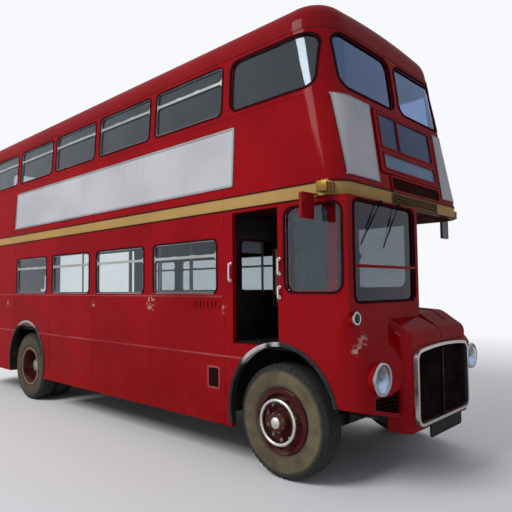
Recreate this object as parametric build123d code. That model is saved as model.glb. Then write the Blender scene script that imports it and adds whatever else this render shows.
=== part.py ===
"""Half-cab double deck bus with an open rear platform, sizes in millimetres."""
import os
from math import cos, radians, sin
from build123d import *

# Overall sizes
LENGTH = 8390
BODY_WIDTH = 2438
HEIGHT = 4382
WHEELBASE = 5131
FRONT_OVERHANG = 1040
WALL = 45
SHEET = 30

# Heights above the ground
SKIRT_Z = 391
PLATFORM_Z = 430
FLOOR_Z = 670
FLOOR_DEPTH = 60
CAB_FLOOR_Z = 1195
LOWER_SILL_Z = 1657
LOWER_GLASS_H = 534
BAND_Z = 2455
BAND_H = 138
UPPER_FLOOR_Z = 2570
UPPER_SILL_Z = 3455
UPPER_GLASS_H = 510
CANTRAIL_Z = 4025
BONNET_EDGE_Z = 1190
WING_TOP_Z = 1480

# Positions along the bus
X_NOSE = LENGTH / 2
X_REAR = -LENGTH / 2 + 20
X_FRONT_AXLE = X_NOSE - FRONT_OVERHANG
X_REAR_AXLE = X_FRONT_AXLE - WHEELBASE
X_WING_FRONT = X_NOSE - 40
X_DECK_FRONT = X_FRONT_AXLE + 742
X_CAB_FRONT = X_FRONT_AXLE + 797
X_SIDE_END = X_FRONT_AXLE + 600
X_BULKHEAD = X_FRONT_AXLE - 645
X_PLATFORM = X_REAR_AXLE - 640
HALF = BODY_WIDTH / 2
Y_CAB = 10
Y_COWL = 640
Y_REAR_EDGE = 380

# Window bays
BAY = 1245
LOWER_PILLAR = 190
UPPER_PILLAR = 120
LOWER_BAYS = 4
UPPER_BAYS = 6
FIRST_BAY_X = X_FRONT_AXLE - 1262
CORNER = 60
FRONT_CORNER = 100
FRONT_LIGHT_SHIFT = 45
SASH_EDGE = 12
SASH_RAIL = 30
VENT_H = 132

# Upper deck shape
REAR_RADIUS = 330
FRONT_RADIUS = 190
DECK_RADIUS = 400
FRONT_LEAN = 238
REAR_LEAN = 210
SIDE_LEAN = 93
CROWN = 95
ROOF_RADIUS = 270

# Wheels
TYRE_R = 510
TYRE_W = 256
RIM_R = 262
HUB_BORE = 50
FRONT_TYRE_Y = 1010
KINGPIN_Y = 850
REAR_TYRE_YS = (752, 1042)
ARCH_R = 615
ARCH_Z = 590

parts = {}


def block(x0, x1, y0, y1, z0, z1):
    box = Box(x1 - x0, y1 - y0, z1 - z0)
    return Pos((x0 + x1) / 2, (y0 + y1) / 2, (z0 + z1) / 2) * box


def rod_x(x0, x1, y, z, radius):
    return Pos((x0 + x1) / 2, y, z) * Rot(0, 90, 0) * Cylinder(radius, x1 - x0)


def rod_y(x, y0, y1, z, radius):
    return Pos(x, (y0 + y1) / 2, z) * Rot(90, 0, 0) * Cylinder(radius, y1 - y0)


def rod_z(x, y, z0, z1, radius):
    return Pos(x, y, (z0 + z1) / 2) * Cylinder(radius, z1 - z0)


def side_prism(x, z, width, height, radius, half_depth):
    plane = Plane(origin=(x, 0, z), x_dir=(1, 0, 0), z_dir=(0, -1, 0))
    return extrude(plane * RectangleRounded(width, height, radius), half_depth, both=True)


def front_prism(x, y, z, width, height, radius, half_depth):
    plane = Plane(origin=(x, y, z), x_dir=(0, 1, 0), z_dir=(1, 0, 0))
    return extrude(plane * RectangleRounded(width, height, radius), half_depth, both=True)


def profile_y(points, y0, y1):
    plane = Plane(origin=(0, y1, 0), x_dir=(1, 0, 0), z_dir=(0, -1, 0))
    return extrude(plane * make_face(Polyline(*points, close=True)), y1 - y0)


def both_sides(shape):
    return [shape, mirror(shape, Plane.XZ)]


# Plan of the body with rounded corners
def deck_face(z, x_rear, x_front, half, rear_radius, front_radius):
    face = Pos((x_rear + x_front) / 2, 0, z) * Rectangle(x_front - x_rear, 2 * half)
    face = fillet(face.vertices().group_by(Axis.X)[-1], front_radius)
    return fillet(face.vertices().group_by(Axis.X)[0], rear_radius)


def body_prism(inset, z0, z1):
    face = deck_face(z0, X_REAR + inset, X_DECK_FRONT - inset, HALF - inset,
                     REAR_RADIUS - inset, FRONT_RADIUS - inset)
    return extrude(face, z1 - z0)


def deck_loft(inset):
    low = deck_face(BAND_Z + BAND_H, X_REAR + inset, X_DECK_FRONT - inset, HALF - inset,
                    REAR_RADIUS - inset, FRONT_RADIUS - inset)
    high = deck_face(HEIGHT, X_REAR + REAR_LEAN + inset, X_DECK_FRONT - FRONT_LEAN - inset,
                     HALF - SIDE_LEAN - inset, DECK_RADIUS - inset, DECK_RADIUS - inset)
    return loft([low, high], ruled=True)


def deck_body(inset):
    top = HEIGHT - inset
    edge = top - CROWN
    base = BAND_Z + BAND_H
    arc = ThreePointArc((-HALF, edge), (0, top), (HALF, edge))
    rest = Polyline((HALF, edge), (HALF, base), (-HALF, base), (-HALF, edge))
    plane = Plane(origin=(X_REAR, 0, 0), x_dir=(0, 1, 0), z_dir=(1, 0, 0))
    crown = extrude(plane * make_face([arc, rest]), LENGTH)
    body = deck_loft(inset) & crown
    rim = body.edges().filter_by(lambda e: e.center().Z > edge - 20)
    return fillet(rim, ROOF_RADIUS - inset)


lower_window_w = BAY - LOWER_PILLAR
upper_window_w = BAY - UPPER_PILLAR
lower_window_z = LOWER_SILL_Z + LOWER_GLASS_H / 2
upper_window_z = UPPER_SILL_Z + UPPER_GLASS_H / 2
lower_xs = [FIRST_BAY_X - BAY * i for i in range(LOWER_BAYS)]
upper_xs = [FIRST_BAY_X - BAY * (i - 1) for i in range(UPPER_BAYS)]
front_light_x = upper_xs[0] - FRONT_LIGHT_SHIFT
front_light_w = upper_window_w - 2 * FRONT_LIGHT_SHIFT


def side_cut(x, z, width, height, radius):
    return side_prism(x, z, width, height, radius, BODY_WIDTH)


lower_cuts = [side_cut(x, lower_window_z, lower_window_w, LOWER_GLASS_H, CORNER) for x in lower_xs]
upper_cuts = [side_cut(x, upper_window_z, upper_window_w, UPPER_GLASS_H, CORNER) for x in upper_xs]
upper_cuts[0] = side_cut(front_light_x, upper_window_z, front_light_w, UPPER_GLASS_H, FRONT_CORNER)
front_arch = rod_y(X_FRONT_AXLE + 60, -BODY_WIDTH, BODY_WIDTH, ARCH_Z, ARCH_R)
rear_arch = rod_y(X_REAR_AXLE, -BODY_WIDTH, BODY_WIDTH, ARCH_Z, ARCH_R)

# Lower deck side walls, with windows and rear wheel arches
x_tail = X_REAR + REAR_RADIUS
offside = block(x_tail, X_BULKHEAD + WALL, -HALF, -HALF + WALL, SKIRT_Z, BAND_Z)
nearside = block(X_PLATFORM, X_BULKHEAD + WALL, HALF - WALL, HALF, SKIRT_Z, BAND_Z)
for cut in lower_cuts + [rear_arch]:
    offside = offside - cut
    nearside = nearside - cut
parts["lower_side_offside"] = offside
parts["lower_side_nearside"] = nearside

# Curved lower rear panel with its window, open at the nearside corner
ring = body_prism(0, SKIRT_Z, BAND_Z) - body_prism(WALL, SKIRT_Z, BAND_Z)
rear_panel = ring & block(X_REAR - 10, x_tail, -HALF, Y_REAR_EDGE, SKIRT_Z, BAND_Z)
rear_panel = rear_panel - front_prism(X_REAR, -230, lower_window_z, 860, LOWER_GLASS_H, CORNER, 200)
parts["lower_rear_panel"] = rear_panel

# Front bulkhead of the saloon with two windows over cab and bonnet
bulkhead = block(X_BULKHEAD, X_BULKHEAD + WALL, -HALF + WALL, HALF - WALL, 500, BAND_Z)
for y in (-560, 560):
    bulkhead = bulkhead - front_prism(X_BULKHEAD, y, lower_window_z, 900, LOWER_GLASS_H, CORNER, 200)
parts["front_bulkhead"] = bulkhead

# Saloon floor, rear wheel boxes and the rear platform
floor = block(X_PLATFORM, X_BULKHEAD, -HALF + WALL, HALF - WALL, FLOOR_Z - FLOOR_DEPTH, FLOOR_Z)
boxes = []
for s in (-1, 1):
    y0, y1 = sorted((s * 580, s * (HALF - WALL)))
    shell = block(X_REAR_AXLE - 600, X_REAR_AXLE + 600, y0, y1, FLOOR_Z - FLOOR_DEPTH, 1110)
    floor = floor - shell
    y2, y3 = sorted((s * (580 + SHEET), s * HALF))
    shell = shell - block(X_REAR_AXLE - 570, X_REAR_AXLE + 570, y2, y3, 0, 1110 - SHEET)
    boxes.append(shell)
parts["saloon_floor"] = floor
parts["rear_wheel_boxes"] = Compound(children=boxes)
platform = body_prism(0, PLATFORM_Z - 50, PLATFORM_Z) & block(X_REAR, X_PLATFORM, -HALF, HALF, 0, HEIGHT)
riser = block(X_PLATFORM - SHEET, X_PLATFORM, -HALF + WALL, HALF, PLATFORM_Z, FLOOR_Z)
platform = platform + riser - rear_panel
parts["rear_platform"] = platform - block(x_tail - 1, X_NOSE, -HALF, -HALF + WALL, 0, HEIGHT)

# Cream band between the decks and the upper floor with its stair well
band_top = BAND_Z + BAND_H
parts["between_decks_band"] = body_prism(0, BAND_Z, band_top) - body_prism(WALL, BAND_Z, band_top)
stair_x0 = X_REAR + 330
stair_x1 = X_PLATFORM - 35
stair_y = -HALF + WALL + 620
well = block(stair_x0, stair_x1, -HALF + WALL + 5, stair_y, 0, HEIGHT)
parts["upper_floor"] = body_prism(WALL, BAND_Z, UPPER_FLOOR_Z) - well

# Upper deck shell, split into four walls and the domed roof
shell = deck_body(0) - deck_body(WALL)
walls = shell & block(X_REAR, X_NOSE, -HALF, HALF, 0, CANTRAIL_Z)
parts["roof"] = shell & block(X_REAR, X_NOSE, -HALF, HALF, CANTRAIL_Z, HEIGHT)
x_split_front = X_DECK_FRONT - 420
x_split_rear = X_REAR + 470
front_wall = walls & block(x_split_front, X_NOSE, -HALF, HALF, 0, HEIGHT)
rear_wall = walls & block(X_REAR, x_split_rear, -HALF, HALF, 0, HEIGHT)
side_zone = block(x_split_rear, x_split_front, 0, HALF, 0, HEIGHT)
near_wall = walls & side_zone
off_wall = walls & mirror(side_zone, Plane.XZ)
for cut in upper_cuts:
    near_wall = near_wall - cut
    off_wall = off_wall - cut
front_wall = front_wall - upper_cuts[0]
rear_wall = rear_wall - upper_cuts[-1]
for y in (-520, 520):
    front_wall = front_wall - front_prism(X_DECK_FRONT, y, 3712, 940, 525, 110, 330)
exit_cut = front_prism(X_REAR, 0, 3640, 1300, 620, 90, 400)
rear_wall = rear_wall - exit_cut
parts["upper_front_wall"] = front_wall
parts["upper_rear_wall"] = rear_wall
parts["upper_side_offside"] = off_wall
parts["upper_side_nearside"] = near_wall

# Destination box frame and plain panels on the outside of the upper deck
skin = deck_loft(-14) - deck_loft(0)
frame = skin & front_prism(X_DECK_FRONT, 90, 3065, 1240, 620, 30, 260)
for y, z, width, height in ((-285, 3172, 340, 330), (255, 3172, 720, 330), (90, 2872, 1070, 150)):
    frame = frame - front_prism(X_DECK_FRONT, y, z, width, height, 15, 300)
parts["destination_box"] = frame
thin = deck_loft(-6) - deck_loft(0)
panels = []
for y0, y1 in ((-1092, -575), (755, 1102)):
    panels.append((thin & block(X_DECK_FRONT - 260, X_DECK_FRONT + 260, y0, y1, 2645, 3378)).solid())
panels += (thin & side_prism(X_FRONT_AXLE - 3060, 2985, 5100, 570, 10, BODY_WIDTH)).solids()
parts["side_panels"] = Compound(children=panels)

# Cab walls: offside with doorway and window, front with windscreen, nearside and floor
x_cab0 = X_BULKHEAD + WALL
cab_off = block(x_cab0, X_SIDE_END, -HALF, -HALF + WALL, SKIRT_Z, BAND_Z)
cab_off = cab_off + block(X_SIDE_END - 1, X_CAB_FRONT, -HALF, -HALF + WALL, WING_TOP_Z, BAND_Z)
cab_off = cab_off - front_arch
door_x0 = X_FRONT_AXLE - 508
door_w = 575
door_z0 = CAB_FLOOR_Z - 15
door_h = 1249
doorway = side_prism(door_x0 + door_w / 2, door_z0 + door_h / 2, door_w, door_h, 20, BODY_WIDTH)
cab_window = side_prism(X_FRONT_AXLE + 445, 2035, 600, 740, 90, BODY_WIDTH)
parts["cab_offside_wall"] = cab_off - doorway - cab_window
cab_front = block(X_CAB_FRONT - WALL, X_CAB_FRONT, -HALF + WALL, Y_CAB, WING_TOP_Z, BAND_Z)
cab_base = CAB_FLOOR_Z - WALL
cab_front = cab_front + block(X_CAB_FRONT - WALL, X_CAB_FRONT, -Y_COWL, Y_CAB, cab_base, WING_TOP_Z + 1)
SCREEN_Y = -597
SCREEN_Z = 2003
SCREEN_W = 1055
SCREEN_H = 845
screen = front_prism(X_CAB_FRONT, SCREEN_Y, SCREEN_Z, SCREEN_W, SCREEN_H, 70, 200)
parts["cab_front"] = cab_front - screen
cab_near = block(x_cab0, X_CAB_FRONT - WALL, Y_CAB - WALL, Y_CAB, cab_base, BAND_Z)
near_window = side_prism(X_FRONT_AXLE + 330, 2035, 700, 680, 80, 300)
parts["cab_nearside_wall"] = cab_near - near_window
cab_floor = block(x_cab0, X_SIDE_END, -HALF + WALL, Y_CAB - WALL, cab_base, CAB_FLOOR_Z)
toe_board = block(X_SIDE_END - 1, X_CAB_FRONT - WALL, -Y_COWL - 400, Y_CAB - WALL, cab_base, CAB_FLOOR_Z)
runner_y = -HALF + WALL + 10
runner_top = CAB_FLOOR_Z + 7.7
runner = block(X_FRONT_AXLE - 525, X_FRONT_AXLE + 690, runner_y, runner_y + 22, CAB_FLOOR_Z - 1, runner_top)
parts["cab_floor"] = cab_floor + toe_board + runner

# Radiator cowl and bonnet lid: sloped profiles with rounded edges, the lid higher at the back
COWL_BASE_Z = 470
NOSE_Z = 1305
COWL_CREST_Z = 1438
COWL_BACK_Z = 1500
LID_CREST_Z = 1462
LID_BACK_Z = 1555
NOSE_RADIUS = 95
CREST_RADIUS = 160
EDGE_RADIUS = 85


def hood(crest, back, inset):
    x1 = X_WING_FRONT - inset
    nose_corner = (x1, NOSE_Z - inset)
    crest_corner = (X_CAB_FRONT - 25, crest - inset)
    points = ((x_cab0, COWL_BASE_Z), (x1, COWL_BASE_Z), nose_corner, crest_corner, (x_cab0, back - inset))
    plane = Plane(origin=(0, Y_COWL - inset, 0), x_dir=(1, 0, 0), z_dir=(0, -1, 0))
    face = make_face(Polyline(*points, close=True))
    for (x, z), radius in ((nose_corner, NOSE_RADIUS), (crest_corner, CREST_RADIUS)):
        corner = face.vertices().sort_by(lambda v: abs(v.X - x) + abs(v.Y - z))[0]
        face = fillet(corner, radius)
    return extrude(plane * face, 2 * (Y_COWL - inset))


def on_side(edge):
    c = edge.center()
    return abs(abs(c.Y) - Y_COWL) < 1 and c.Z > COWL_BASE_Z + 10 and c.X > x_cab0 + 1


def rounded(shape):
    return fillet(shape.edges().filter_by(on_side), EDGE_RADIUS)


cowl_full = rounded(hood(COWL_CREST_Z, COWL_BACK_Z, 0))
cowl_core = hood(COWL_CREST_Z, COWL_BACK_Z, SHEET)
lid_full = rounded(hood(LID_CREST_Z, LID_BACK_Z, 0))
lid_shell = lid_full - hood(LID_CREST_Z, LID_BACK_Z, SHEET)

# Front wings, lofted through level sections: height, front at the cowl, sweep, outer side, radius
OFFSIDE_WING = (
    (600, 955, 110, 0, 265),
    (960, 965, 110, 0, 265),
    (1120, 945, 105, 0, 250),
    (1260, 880, 60, 0, 190),
    (WING_TOP_Z, 799, 0, 0, 60),
)
NEARSIDE_WING = (
    (600, 955, 110, 0, 265),
    (960, 965, 110, 0, 265),
    (1110, 940, 105, 6, 250),
    (1195, 850, 70, 40, 230),
    (1240, 715, 50, 130, 170),
)
WING_BASE_Z = 600
WING_RISE = 140
WING_TUCK = 90


def wing(sections, x_back, inset, drop):
    faces = []
    y0 = Y_COWL - WING_TUCK
    for z, front, sweep, side, radius in sections:
        x1 = X_FRONT_AXLE + front - inset
        y1 = HALF - side - inset
        outline = Polyline((x_back, y0), (x1, y0), (x1 - sweep, y1), (x_back, y1), close=True)
        face = Pos(0, 0, z - drop) * make_face(outline)
        corner = face.vertices().sort_by(lambda v: v.X + v.Y)[-1]
        faces.append(fillet(corner, radius - inset * 0.9))
    return loft(faces)


def nose_cut(points):
    plane = Plane(origin=(X_SIDE_END, 0, 0), x_dir=(0, 1, 0), z_dir=(1, 0, 0))
    return extrude(plane * make_face(Polyline(*points, close=True)), X_NOSE - X_SIDE_END)


# The lower edge rises from the cowl to the arch, and a vent opens below the headlamp
edge_top = WING_BASE_Z + WING_RISE
edge_cut = nose_cut(((Y_COWL - WING_TUCK, 0), (HALF + 20, 0), (HALF + 20, edge_top), (Y_COWL, WING_BASE_Z)))
vent_cut = nose_cut(((985, 715), (985, 808), (790, 808), (665, 850), (665, 640)))
cab_zone = block(x_cab0, X_CAB_FRONT, -Y_COWL, Y_COWL, 0, HEIGHT)
wing_trim = front_arch + cowl_full + cab_zone
for cut in both_sides(edge_cut) + both_sides(vent_cut):
    wing_trim = wing_trim + cut
wing_off_full = mirror(wing(OFFSIDE_WING, X_SIDE_END, 0, 0), Plane.XZ)
wing_off = wing_off_full - mirror(wing(OFFSIDE_WING, X_SIDE_END, SHEET, 0), Plane.XZ)
parts["front_wing_offside"] = wing_off - wing_trim
wing_near_full = wing(NEARSIDE_WING, x_cab0, 0, 0)
wing_near = wing_near_full - wing(NEARSIDE_WING, x_cab0, SHEET, SHEET)
wing_near = wing_near - block(x_cab0, X_NOSE, 0, Y_COWL + 6, BONNET_EDGE_Z, HEIGHT)
parts["front_wing_nearside"] = wing_near - wing_trim

# Radiator grille: thin bright surround with an arched top, slats and a centre bar
GRILLE_W = 1106
GRILLE_H = 680
GRILLE_Z = 850
GRILLE_ARCH = 32
GRILLE_RIM = 26
SLATS = 14


def grille_prism(inset, x0, x1):
    half_w = GRILLE_W / 2 - inset
    low = GRILLE_Z - GRILLE_H / 2 + inset
    top = GRILLE_Z + GRILLE_H / 2 - inset
    spring = top - GRILLE_ARCH
    sides = Polyline((-half_w, spring), (-half_w, low), (half_w, low), (half_w, spring))
    crown = ThreePointArc((half_w, spring), (0, top), (-half_w, spring))
    face = make_face([sides, crown])
    face = fillet(face.vertices(), 95 - inset)
    plane = Plane(origin=(x0, 0, 0), x_dir=(0, 1, 0), z_dir=(1, 0, 0))
    return extrude(plane * face, x1 - x0)


panel = (cowl_full - cowl_core) & block(X_CAB_FRONT, X_NOSE, -Y_COWL, Y_COWL, 0, HEIGHT)
panel = panel - block(x_cab0, X_NOSE, Y_CAB, HALF, BONNET_EDGE_Z, HEIGHT)
parts["front_panel"] = panel - grille_prism(GRILLE_RIM - 1, X_WING_FRONT - 100, X_NOSE)
opening = grille_prism(GRILLE_RIM, X_WING_FRONT - 60, X_NOSE + 10)
parts["grille_surround"] = grille_prism(0, X_WING_FRONT, X_NOSE) - opening
slats = block(X_WING_FRONT - 5, X_WING_FRONT + 15, -18, 18, GRILLE_Z - GRILLE_H / 2, GRILLE_Z + GRILLE_H / 2)
for i in range(SLATS):
    z = 570 + i * 560 / (SLATS - 1)
    slats = slats + block(X_WING_FRONT - 15, X_WING_FRONT + 5, -GRILLE_W / 2, GRILLE_W / 2, z - 8, z + 8)
parts["radiator_grille"] = slats & opening

# Bonnet lid with its side flange, hinge barrels on the lid, brackets and pins on the bulkhead
bonnet = lid_shell & block(x_cab0 + 6, X_NOSE, Y_CAB + 6, Y_COWL, BONNET_EDGE_Z + 6, HEIGHT)
flange_zone = block(X_CAB_FRONT + 6, X_NOSE, Y_CAB + 6, Y_CAB + 26, BONNET_EDGE_Z + 6, HEIGHT)
bonnet = bonnet + ((lid_full - cowl_core) & flange_zone)
hinge_x = x_cab0 + 30
hinge_z = LID_BACK_Z + 10
for y in (230, 550):
    bonnet = bonnet + rod_y(hinge_x, y - 30, y + 30, hinge_z, 17)
    bulkhead = bulkhead + rod_y(hinge_x, y - 45, y + 45, hinge_z, 8)
    for y0, y1 in ((y - 46, y - 31), (y + 31, y + 46)):
        bulkhead = bulkhead + block(x_cab0 - 1, hinge_x + 12, y0, y1, hinge_z - 10, hinge_z + 12)
        bonnet = bonnet - block(x_cab0, hinge_x + 22, y0 - 6, y1 + 6, BONNET_EDGE_Z, HEIGHT)
parts["front_bulkhead"] = bulkhead
parts["bonnet"] = bonnet - rod_y(hinge_x, 0, HALF, hinge_z, 8.06)

# Lamps on the wings, the cab and the tail
nose_full = wing_off_full + wing_near_full
lamps = []
for y in (-945, 945):
    lamps.append(rod_x(X_FRONT_AXLE + 760, X_FRONT_AXLE + 938, y, 960, 128) - nose_full)
side_lamp = rod_x(X_FRONT_AXLE + 770, X_FRONT_AXLE + 838, -1150, 1455, 48)
lamps.append(side_lamp - nose_full - cab_front - cab_off)
lamps.append(rod_x(X_FRONT_AXLE + 620, X_FRONT_AXLE + 800, 1000, 1225, 48) - nose_full)
for y, z in ((-1000, 1010), (-1000, 1150), (250, 1010)):
    lamps.append(rod_x(X_REAR - 18, X_REAR + 40, y, z, 48) - body_prism(0, 0, BAND_Z))
parts["lamps"] = Compound(children=[lamp.solid() for lamp in lamps])

# Direction ears, mirrors on arms
ear = block(X_FRONT_AXLE + 575, X_FRONT_AXLE + 665, HALF - 40, HALF + 95, 2490, 2565)
ear = ear - body_prism(0, BAND_Z, band_top)
parts["direction_ears"] = Compound(children=both_sides(ear))
mirror_x = X_FRONT_AXLE + 500
arm = rod_y(mirror_x, HALF, HALF + 120, 2480, 9)
head = front_prism(mirror_x, HALF + 135, 2375, 170, 215, 16, 14)
parts["mirrors"] = Compound(children=both_sides(arm + head))

# Glass and sash frames set in the window openings
GLASS = 6
glass_in = 20


def slab(make, depth0, depth1):
    return make(depth0) - make(depth1)


def lower_body(inset):
    return body_prism(inset, SKIRT_Z, BAND_Z)


lower_slab = slab(lower_body, glass_in, glass_in + GLASS)
upper_slab = slab(deck_loft, glass_in, glass_in + GLASS)
sash_lower = slab(lower_body, 3, glass_in - 0.5)
sash_upper = slab(deck_loft, 3, glass_in - 0.5)
panes = []
sashes = []
bands = [(lower_xs, lower_window_z, lower_window_w, LOWER_GLASS_H, lower_slab, sash_lower),
         (upper_xs[1:], upper_window_z, upper_window_w, UPPER_GLASS_H, upper_slab, sash_upper)]
for xs, z, width, height, glass_slab, sash_slab in bands:
    for x in xs:
        panes += (glass_slab & side_prism(x, z, width - 1, height - 1, CORNER, BODY_WIDTH)).solids()
        sash = side_prism(x, z, width - 1, height - 1, CORNER, BODY_WIDTH)
        inner_w = width - 2 * SASH_EDGE
        main_h = height - 2 * SASH_EDGE - VENT_H - SASH_RAIL
        main_z = z - height / 2 + SASH_EDGE + main_h / 2
        vent_z = z + height / 2 - SASH_EDGE - VENT_H / 2
        sash = sash - side_prism(x, main_z, inner_w, main_h, CORNER - SASH_EDGE, BODY_WIDTH * 2)
        sash = sash - side_prism(x, vent_z, inner_w, VENT_H, CORNER - SASH_EDGE, BODY_WIDTH * 2)
        sashes += (sash_slab & sash).solids()
front_light = side_cut(front_light_x, upper_window_z, front_light_w - 1, UPPER_GLASS_H - 1, FRONT_CORNER)
panes += (upper_slab & front_light).solids()
for y in (-520, 520):
    panes += (upper_slab & front_prism(X_DECK_FRONT, y, 3712, 939, 524, 110, 330)).solids()
panes += (upper_slab & front_prism(X_REAR, 0, 3640, 1299, 619, 90, 400)).solids()
rear_light = front_prism(X_REAR, -230, lower_window_z, 859, LOWER_GLASS_H - 1, CORNER, 200)
panes += (lower_slab & rear_light).solids()
pane_x = X_BULKHEAD + WALL / 2
for y in (-560, 560):
    panes.append(front_prism(pane_x, y, lower_window_z, 899, LOWER_GLASS_H - 1, CORNER, GLASS / 2))
screen_pane = front_prism(X_CAB_FRONT - 20, SCREEN_Y, SCREEN_Z, SCREEN_W - 1, SCREEN_H - 1, 70, GLASS / 2)
panes.append(screen_pane - front_prism(X_CAB_FRONT - 20, SCREEN_Y, 1880, SCREEN_W + 90, 22, 5, WALL))
cab_slab = block(x_cab0, X_CAB_FRONT, -HALF + glass_in, -HALF + glass_in + GLASS, 1000, BAND_Z)
panes.append(side_prism(X_FRONT_AXLE + 445, 2035, 599, 739, 90, BODY_WIDTH) & cab_slab)
near_slab = block(x_cab0, X_CAB_FRONT, Y_CAB - 26, Y_CAB - 20, 1000, BAND_Z)
panes.append(side_prism(X_FRONT_AXLE + 330, 2035, 699, 679, 80, 300) & near_slab)
glass = []
for pane in panes:
    glass += pane.solids()
parts["window_glass"] = Compound(children=glass)
parts["window_sashes"] = Compound(children=sashes)

# Passenger seats: bent frames with a cushion and a back squab
SEAT_ROWS = [
    ("lower", FLOOR_Z, X_BULKHEAD - 760, 4, 310, 1160),
    ("upper", UPPER_FLOOR_Z, X_DECK_FRONT - 1150, 8, 270, 1100),
]
SEAT_PITCH = 730
frames = []
cushions = []
for deck, z, x_first, rows, y_in, y_out in SEAT_ROWS:
    for i in range(rows):
        x = x_first - SEAT_PITCH * i
        outline = ((180, 0), (240, 0), (240, 310), (440, 310), (440, 330), (0, 330), (-75, 860),
                   (-97, 860), (-20, 310), (180, 310))
        pad = ((5, 330), (445, 330), (445, 420), (5, 420))
        lean = 75 / 530
        squab = ((-lean * 95, 425), (-lean * 500, 830), (80 - lean * 500, 836), (85 - lean * 95, 431))
        for s in (-1, 1):
            if deck == "upper" and s < 0 and x < stair_x1 + 150:
                continue
            y0, y1 = sorted((s * y_in, s * y_out))
            frames.append(profile_y([(x + a, z + b) for a, b in outline], y0, y1))
            cushions.append(profile_y([(x + a, z + b) for a, b in pad], y0 + 10, y1 - 10))
            cushions.append(profile_y([(x + a, z + b) for a, b in squab], y0 + 10, y1 - 10))
for s in (-1, 1):
    y0, y1 = sorted((s * 640, s * (HALF - WALL - 90)))
    cushions.append(block(X_REAR_AXLE - 590, X_REAR_AXLE + 590, y0, y1, 1110, 1210))
    y2, y3 = sorted((s * (HALF - WALL - 85), s * (HALF - WALL)))
    cushions.append(block(X_REAR_AXLE - 590, X_REAR_AXLE + 590, y2, y3, 1110, 1600))
parts["seat_frames"] = Compound(children=frames)

# Staircase in the offside rear corner
STEPS = 9
rise = (UPPER_FLOOR_Z - PLATFORM_Z) / STEPS
run = (stair_x1 - stair_x0 - 40) / (STEPS - 1)
stair_y0 = -HALF + WALL + 30
stairs = block(stair_x0 + 20, stair_x1 - 20, stair_y - 30, stair_y, PLATFORM_Z, PLATFORM_Z + 60)
for i in range(STEPS - 1):
    x0 = stair_x0 + 20 + run * i
    z1 = PLATFORM_Z + rise * (i + 1)
    z0 = max(PLATFORM_Z, z1 - 1.6 * rise)
    stairs = stairs + block(x0, x0 + run, stair_y0, stair_y - 29, z0, z1)
    stairs = stairs + block(x0, x0 + run, stair_y - 30, stair_y, z0, min(z1 + 500, BAND_Z))
parts["staircase"] = stairs

# Platform pole and saloon poles
poles = []
for x, y in ((X_REAR + 250, 780), (X_PLATFORM - 60, 1150)):
    poles.append(rod_z(x, y, PLATFORM_Z, BAND_Z, 17))
for i in range(4):
    for y in (-290, 290):
        poles.append(rod_z(X_BULKHEAD - 850 - SEAT_PITCH * i, y, FLOOR_Z, BAND_Z, 15))
parts["hand_poles"] = Compound(children=poles)

# Driver's seat and steering column
y_driver = -560
seat_x = X_FRONT_AXLE - 360
seat_z = CAB_FLOOR_Z
cushions.append(block(seat_x + 30, seat_x + 450, y_driver - 225, y_driver + 225, seat_z + 340, seat_z + 430))
cushions.append(block(seat_x, seat_x + 75, y_driver - 225, y_driver + 225, seat_z + 435, seat_z + 900))
seat = block(seat_x + 20, seat_x + 450, y_driver - 220, y_driver + 220, seat_z + 325, seat_z + 340)
seat = seat + block(seat_x - 20, seat_x, y_driver - 220, y_driver + 220, seat_z + 325, seat_z + 890)
seat = seat + block(seat_x - 20, seat_x + 21, y_driver - 220, y_driver + 220, seat_z + 325, seat_z + 340)
seat = seat + block(seat_x + 90, seat_x + 370, y_driver - 150, y_driver + 150, seat_z, seat_z + 326)
parts["driver_seat"] = seat
parts["seat_cushions"] = Compound(children=cushions)
COLUMN_TILT = 25
column_x = X_FRONT_AXLE + 560
column_h = 640
column = Pos(column_x, y_driver, CAB_FLOOR_Z) * Rot(0, -COLUMN_TILT, 0)
tube = column * Pos(0, 0, column_h / 2) * Cylinder(35, column_h + 200)
tube = tube & block(x_cab0, X_CAB_FRONT, -HALF, HALF, CAB_FLOOR_Z, BAND_Z)
shaft = column * Pos(0, 0, column_h + 115) * Cylinder(18, 70)
parts["steering_column"] = tube + shaft
rim = column * Pos(0, 0, column_h + 150) * Torus(250, 16)
boss = column * Pos(0, 0, column_h + 135) * Cylinder(55, 50)
spokes = column * Pos(0, 0, column_h + 140) * Box(490, 30, 14)
cross = column * Pos(0, 0, column_h + 140) * Box(30, 490, 14)
shaft_bore = column * Pos(0, 0, column_h + 110) * Cylinder(18.06, 82)
parts["steering_wheel"] = rim + boss + spokes + cross - shaft_bore

# Engine, radiator and front subframe carrying the kingpins
engine = block(X_FRONT_AXLE - 480, X_FRONT_AXLE + 640, 90, 530, 450, 1400)
parts["engine_block"] = Compound(children=[engine])
parts["radiator"] = block(X_FRONT_AXLE + 860, X_FRONT_AXLE + 930, -450, 450, 520, 1150)
rail_y = 545
AXLE_Z = TYRE_R
frame_solid = block(X_FRONT_AXLE - 120, X_FRONT_AXLE + 120, -575, 575, 330, 450)
for s in (-1, 1):
    y0, y1 = sorted((s * rail_y, s * (rail_y + 30)))
    frame_solid = frame_solid + block(x_cab0, X_FRONT_AXLE + 935, y0, y1, 530, 660)
    frame_solid = frame_solid + block(X_FRONT_AXLE - 100, X_FRONT_AXLE + 100, y0, y1, 330, 700)
    y2, y3 = sorted((s * rail_y, s * KINGPIN_Y))
    for z0, z1 in ((350, 390), (640, 680)):
        arm_part = block(X_FRONT_AXLE - 45, X_FRONT_AXLE + 45, y2, y3, z0, z1)
        frame_solid = frame_solid + arm_part + rod_z(X_FRONT_AXLE, s * KINGPIN_Y, z0, z1, 52)
    frame_solid = frame_solid + rod_z(X_FRONT_AXLE, s * KINGPIN_Y, 380, 650, 28)
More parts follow.
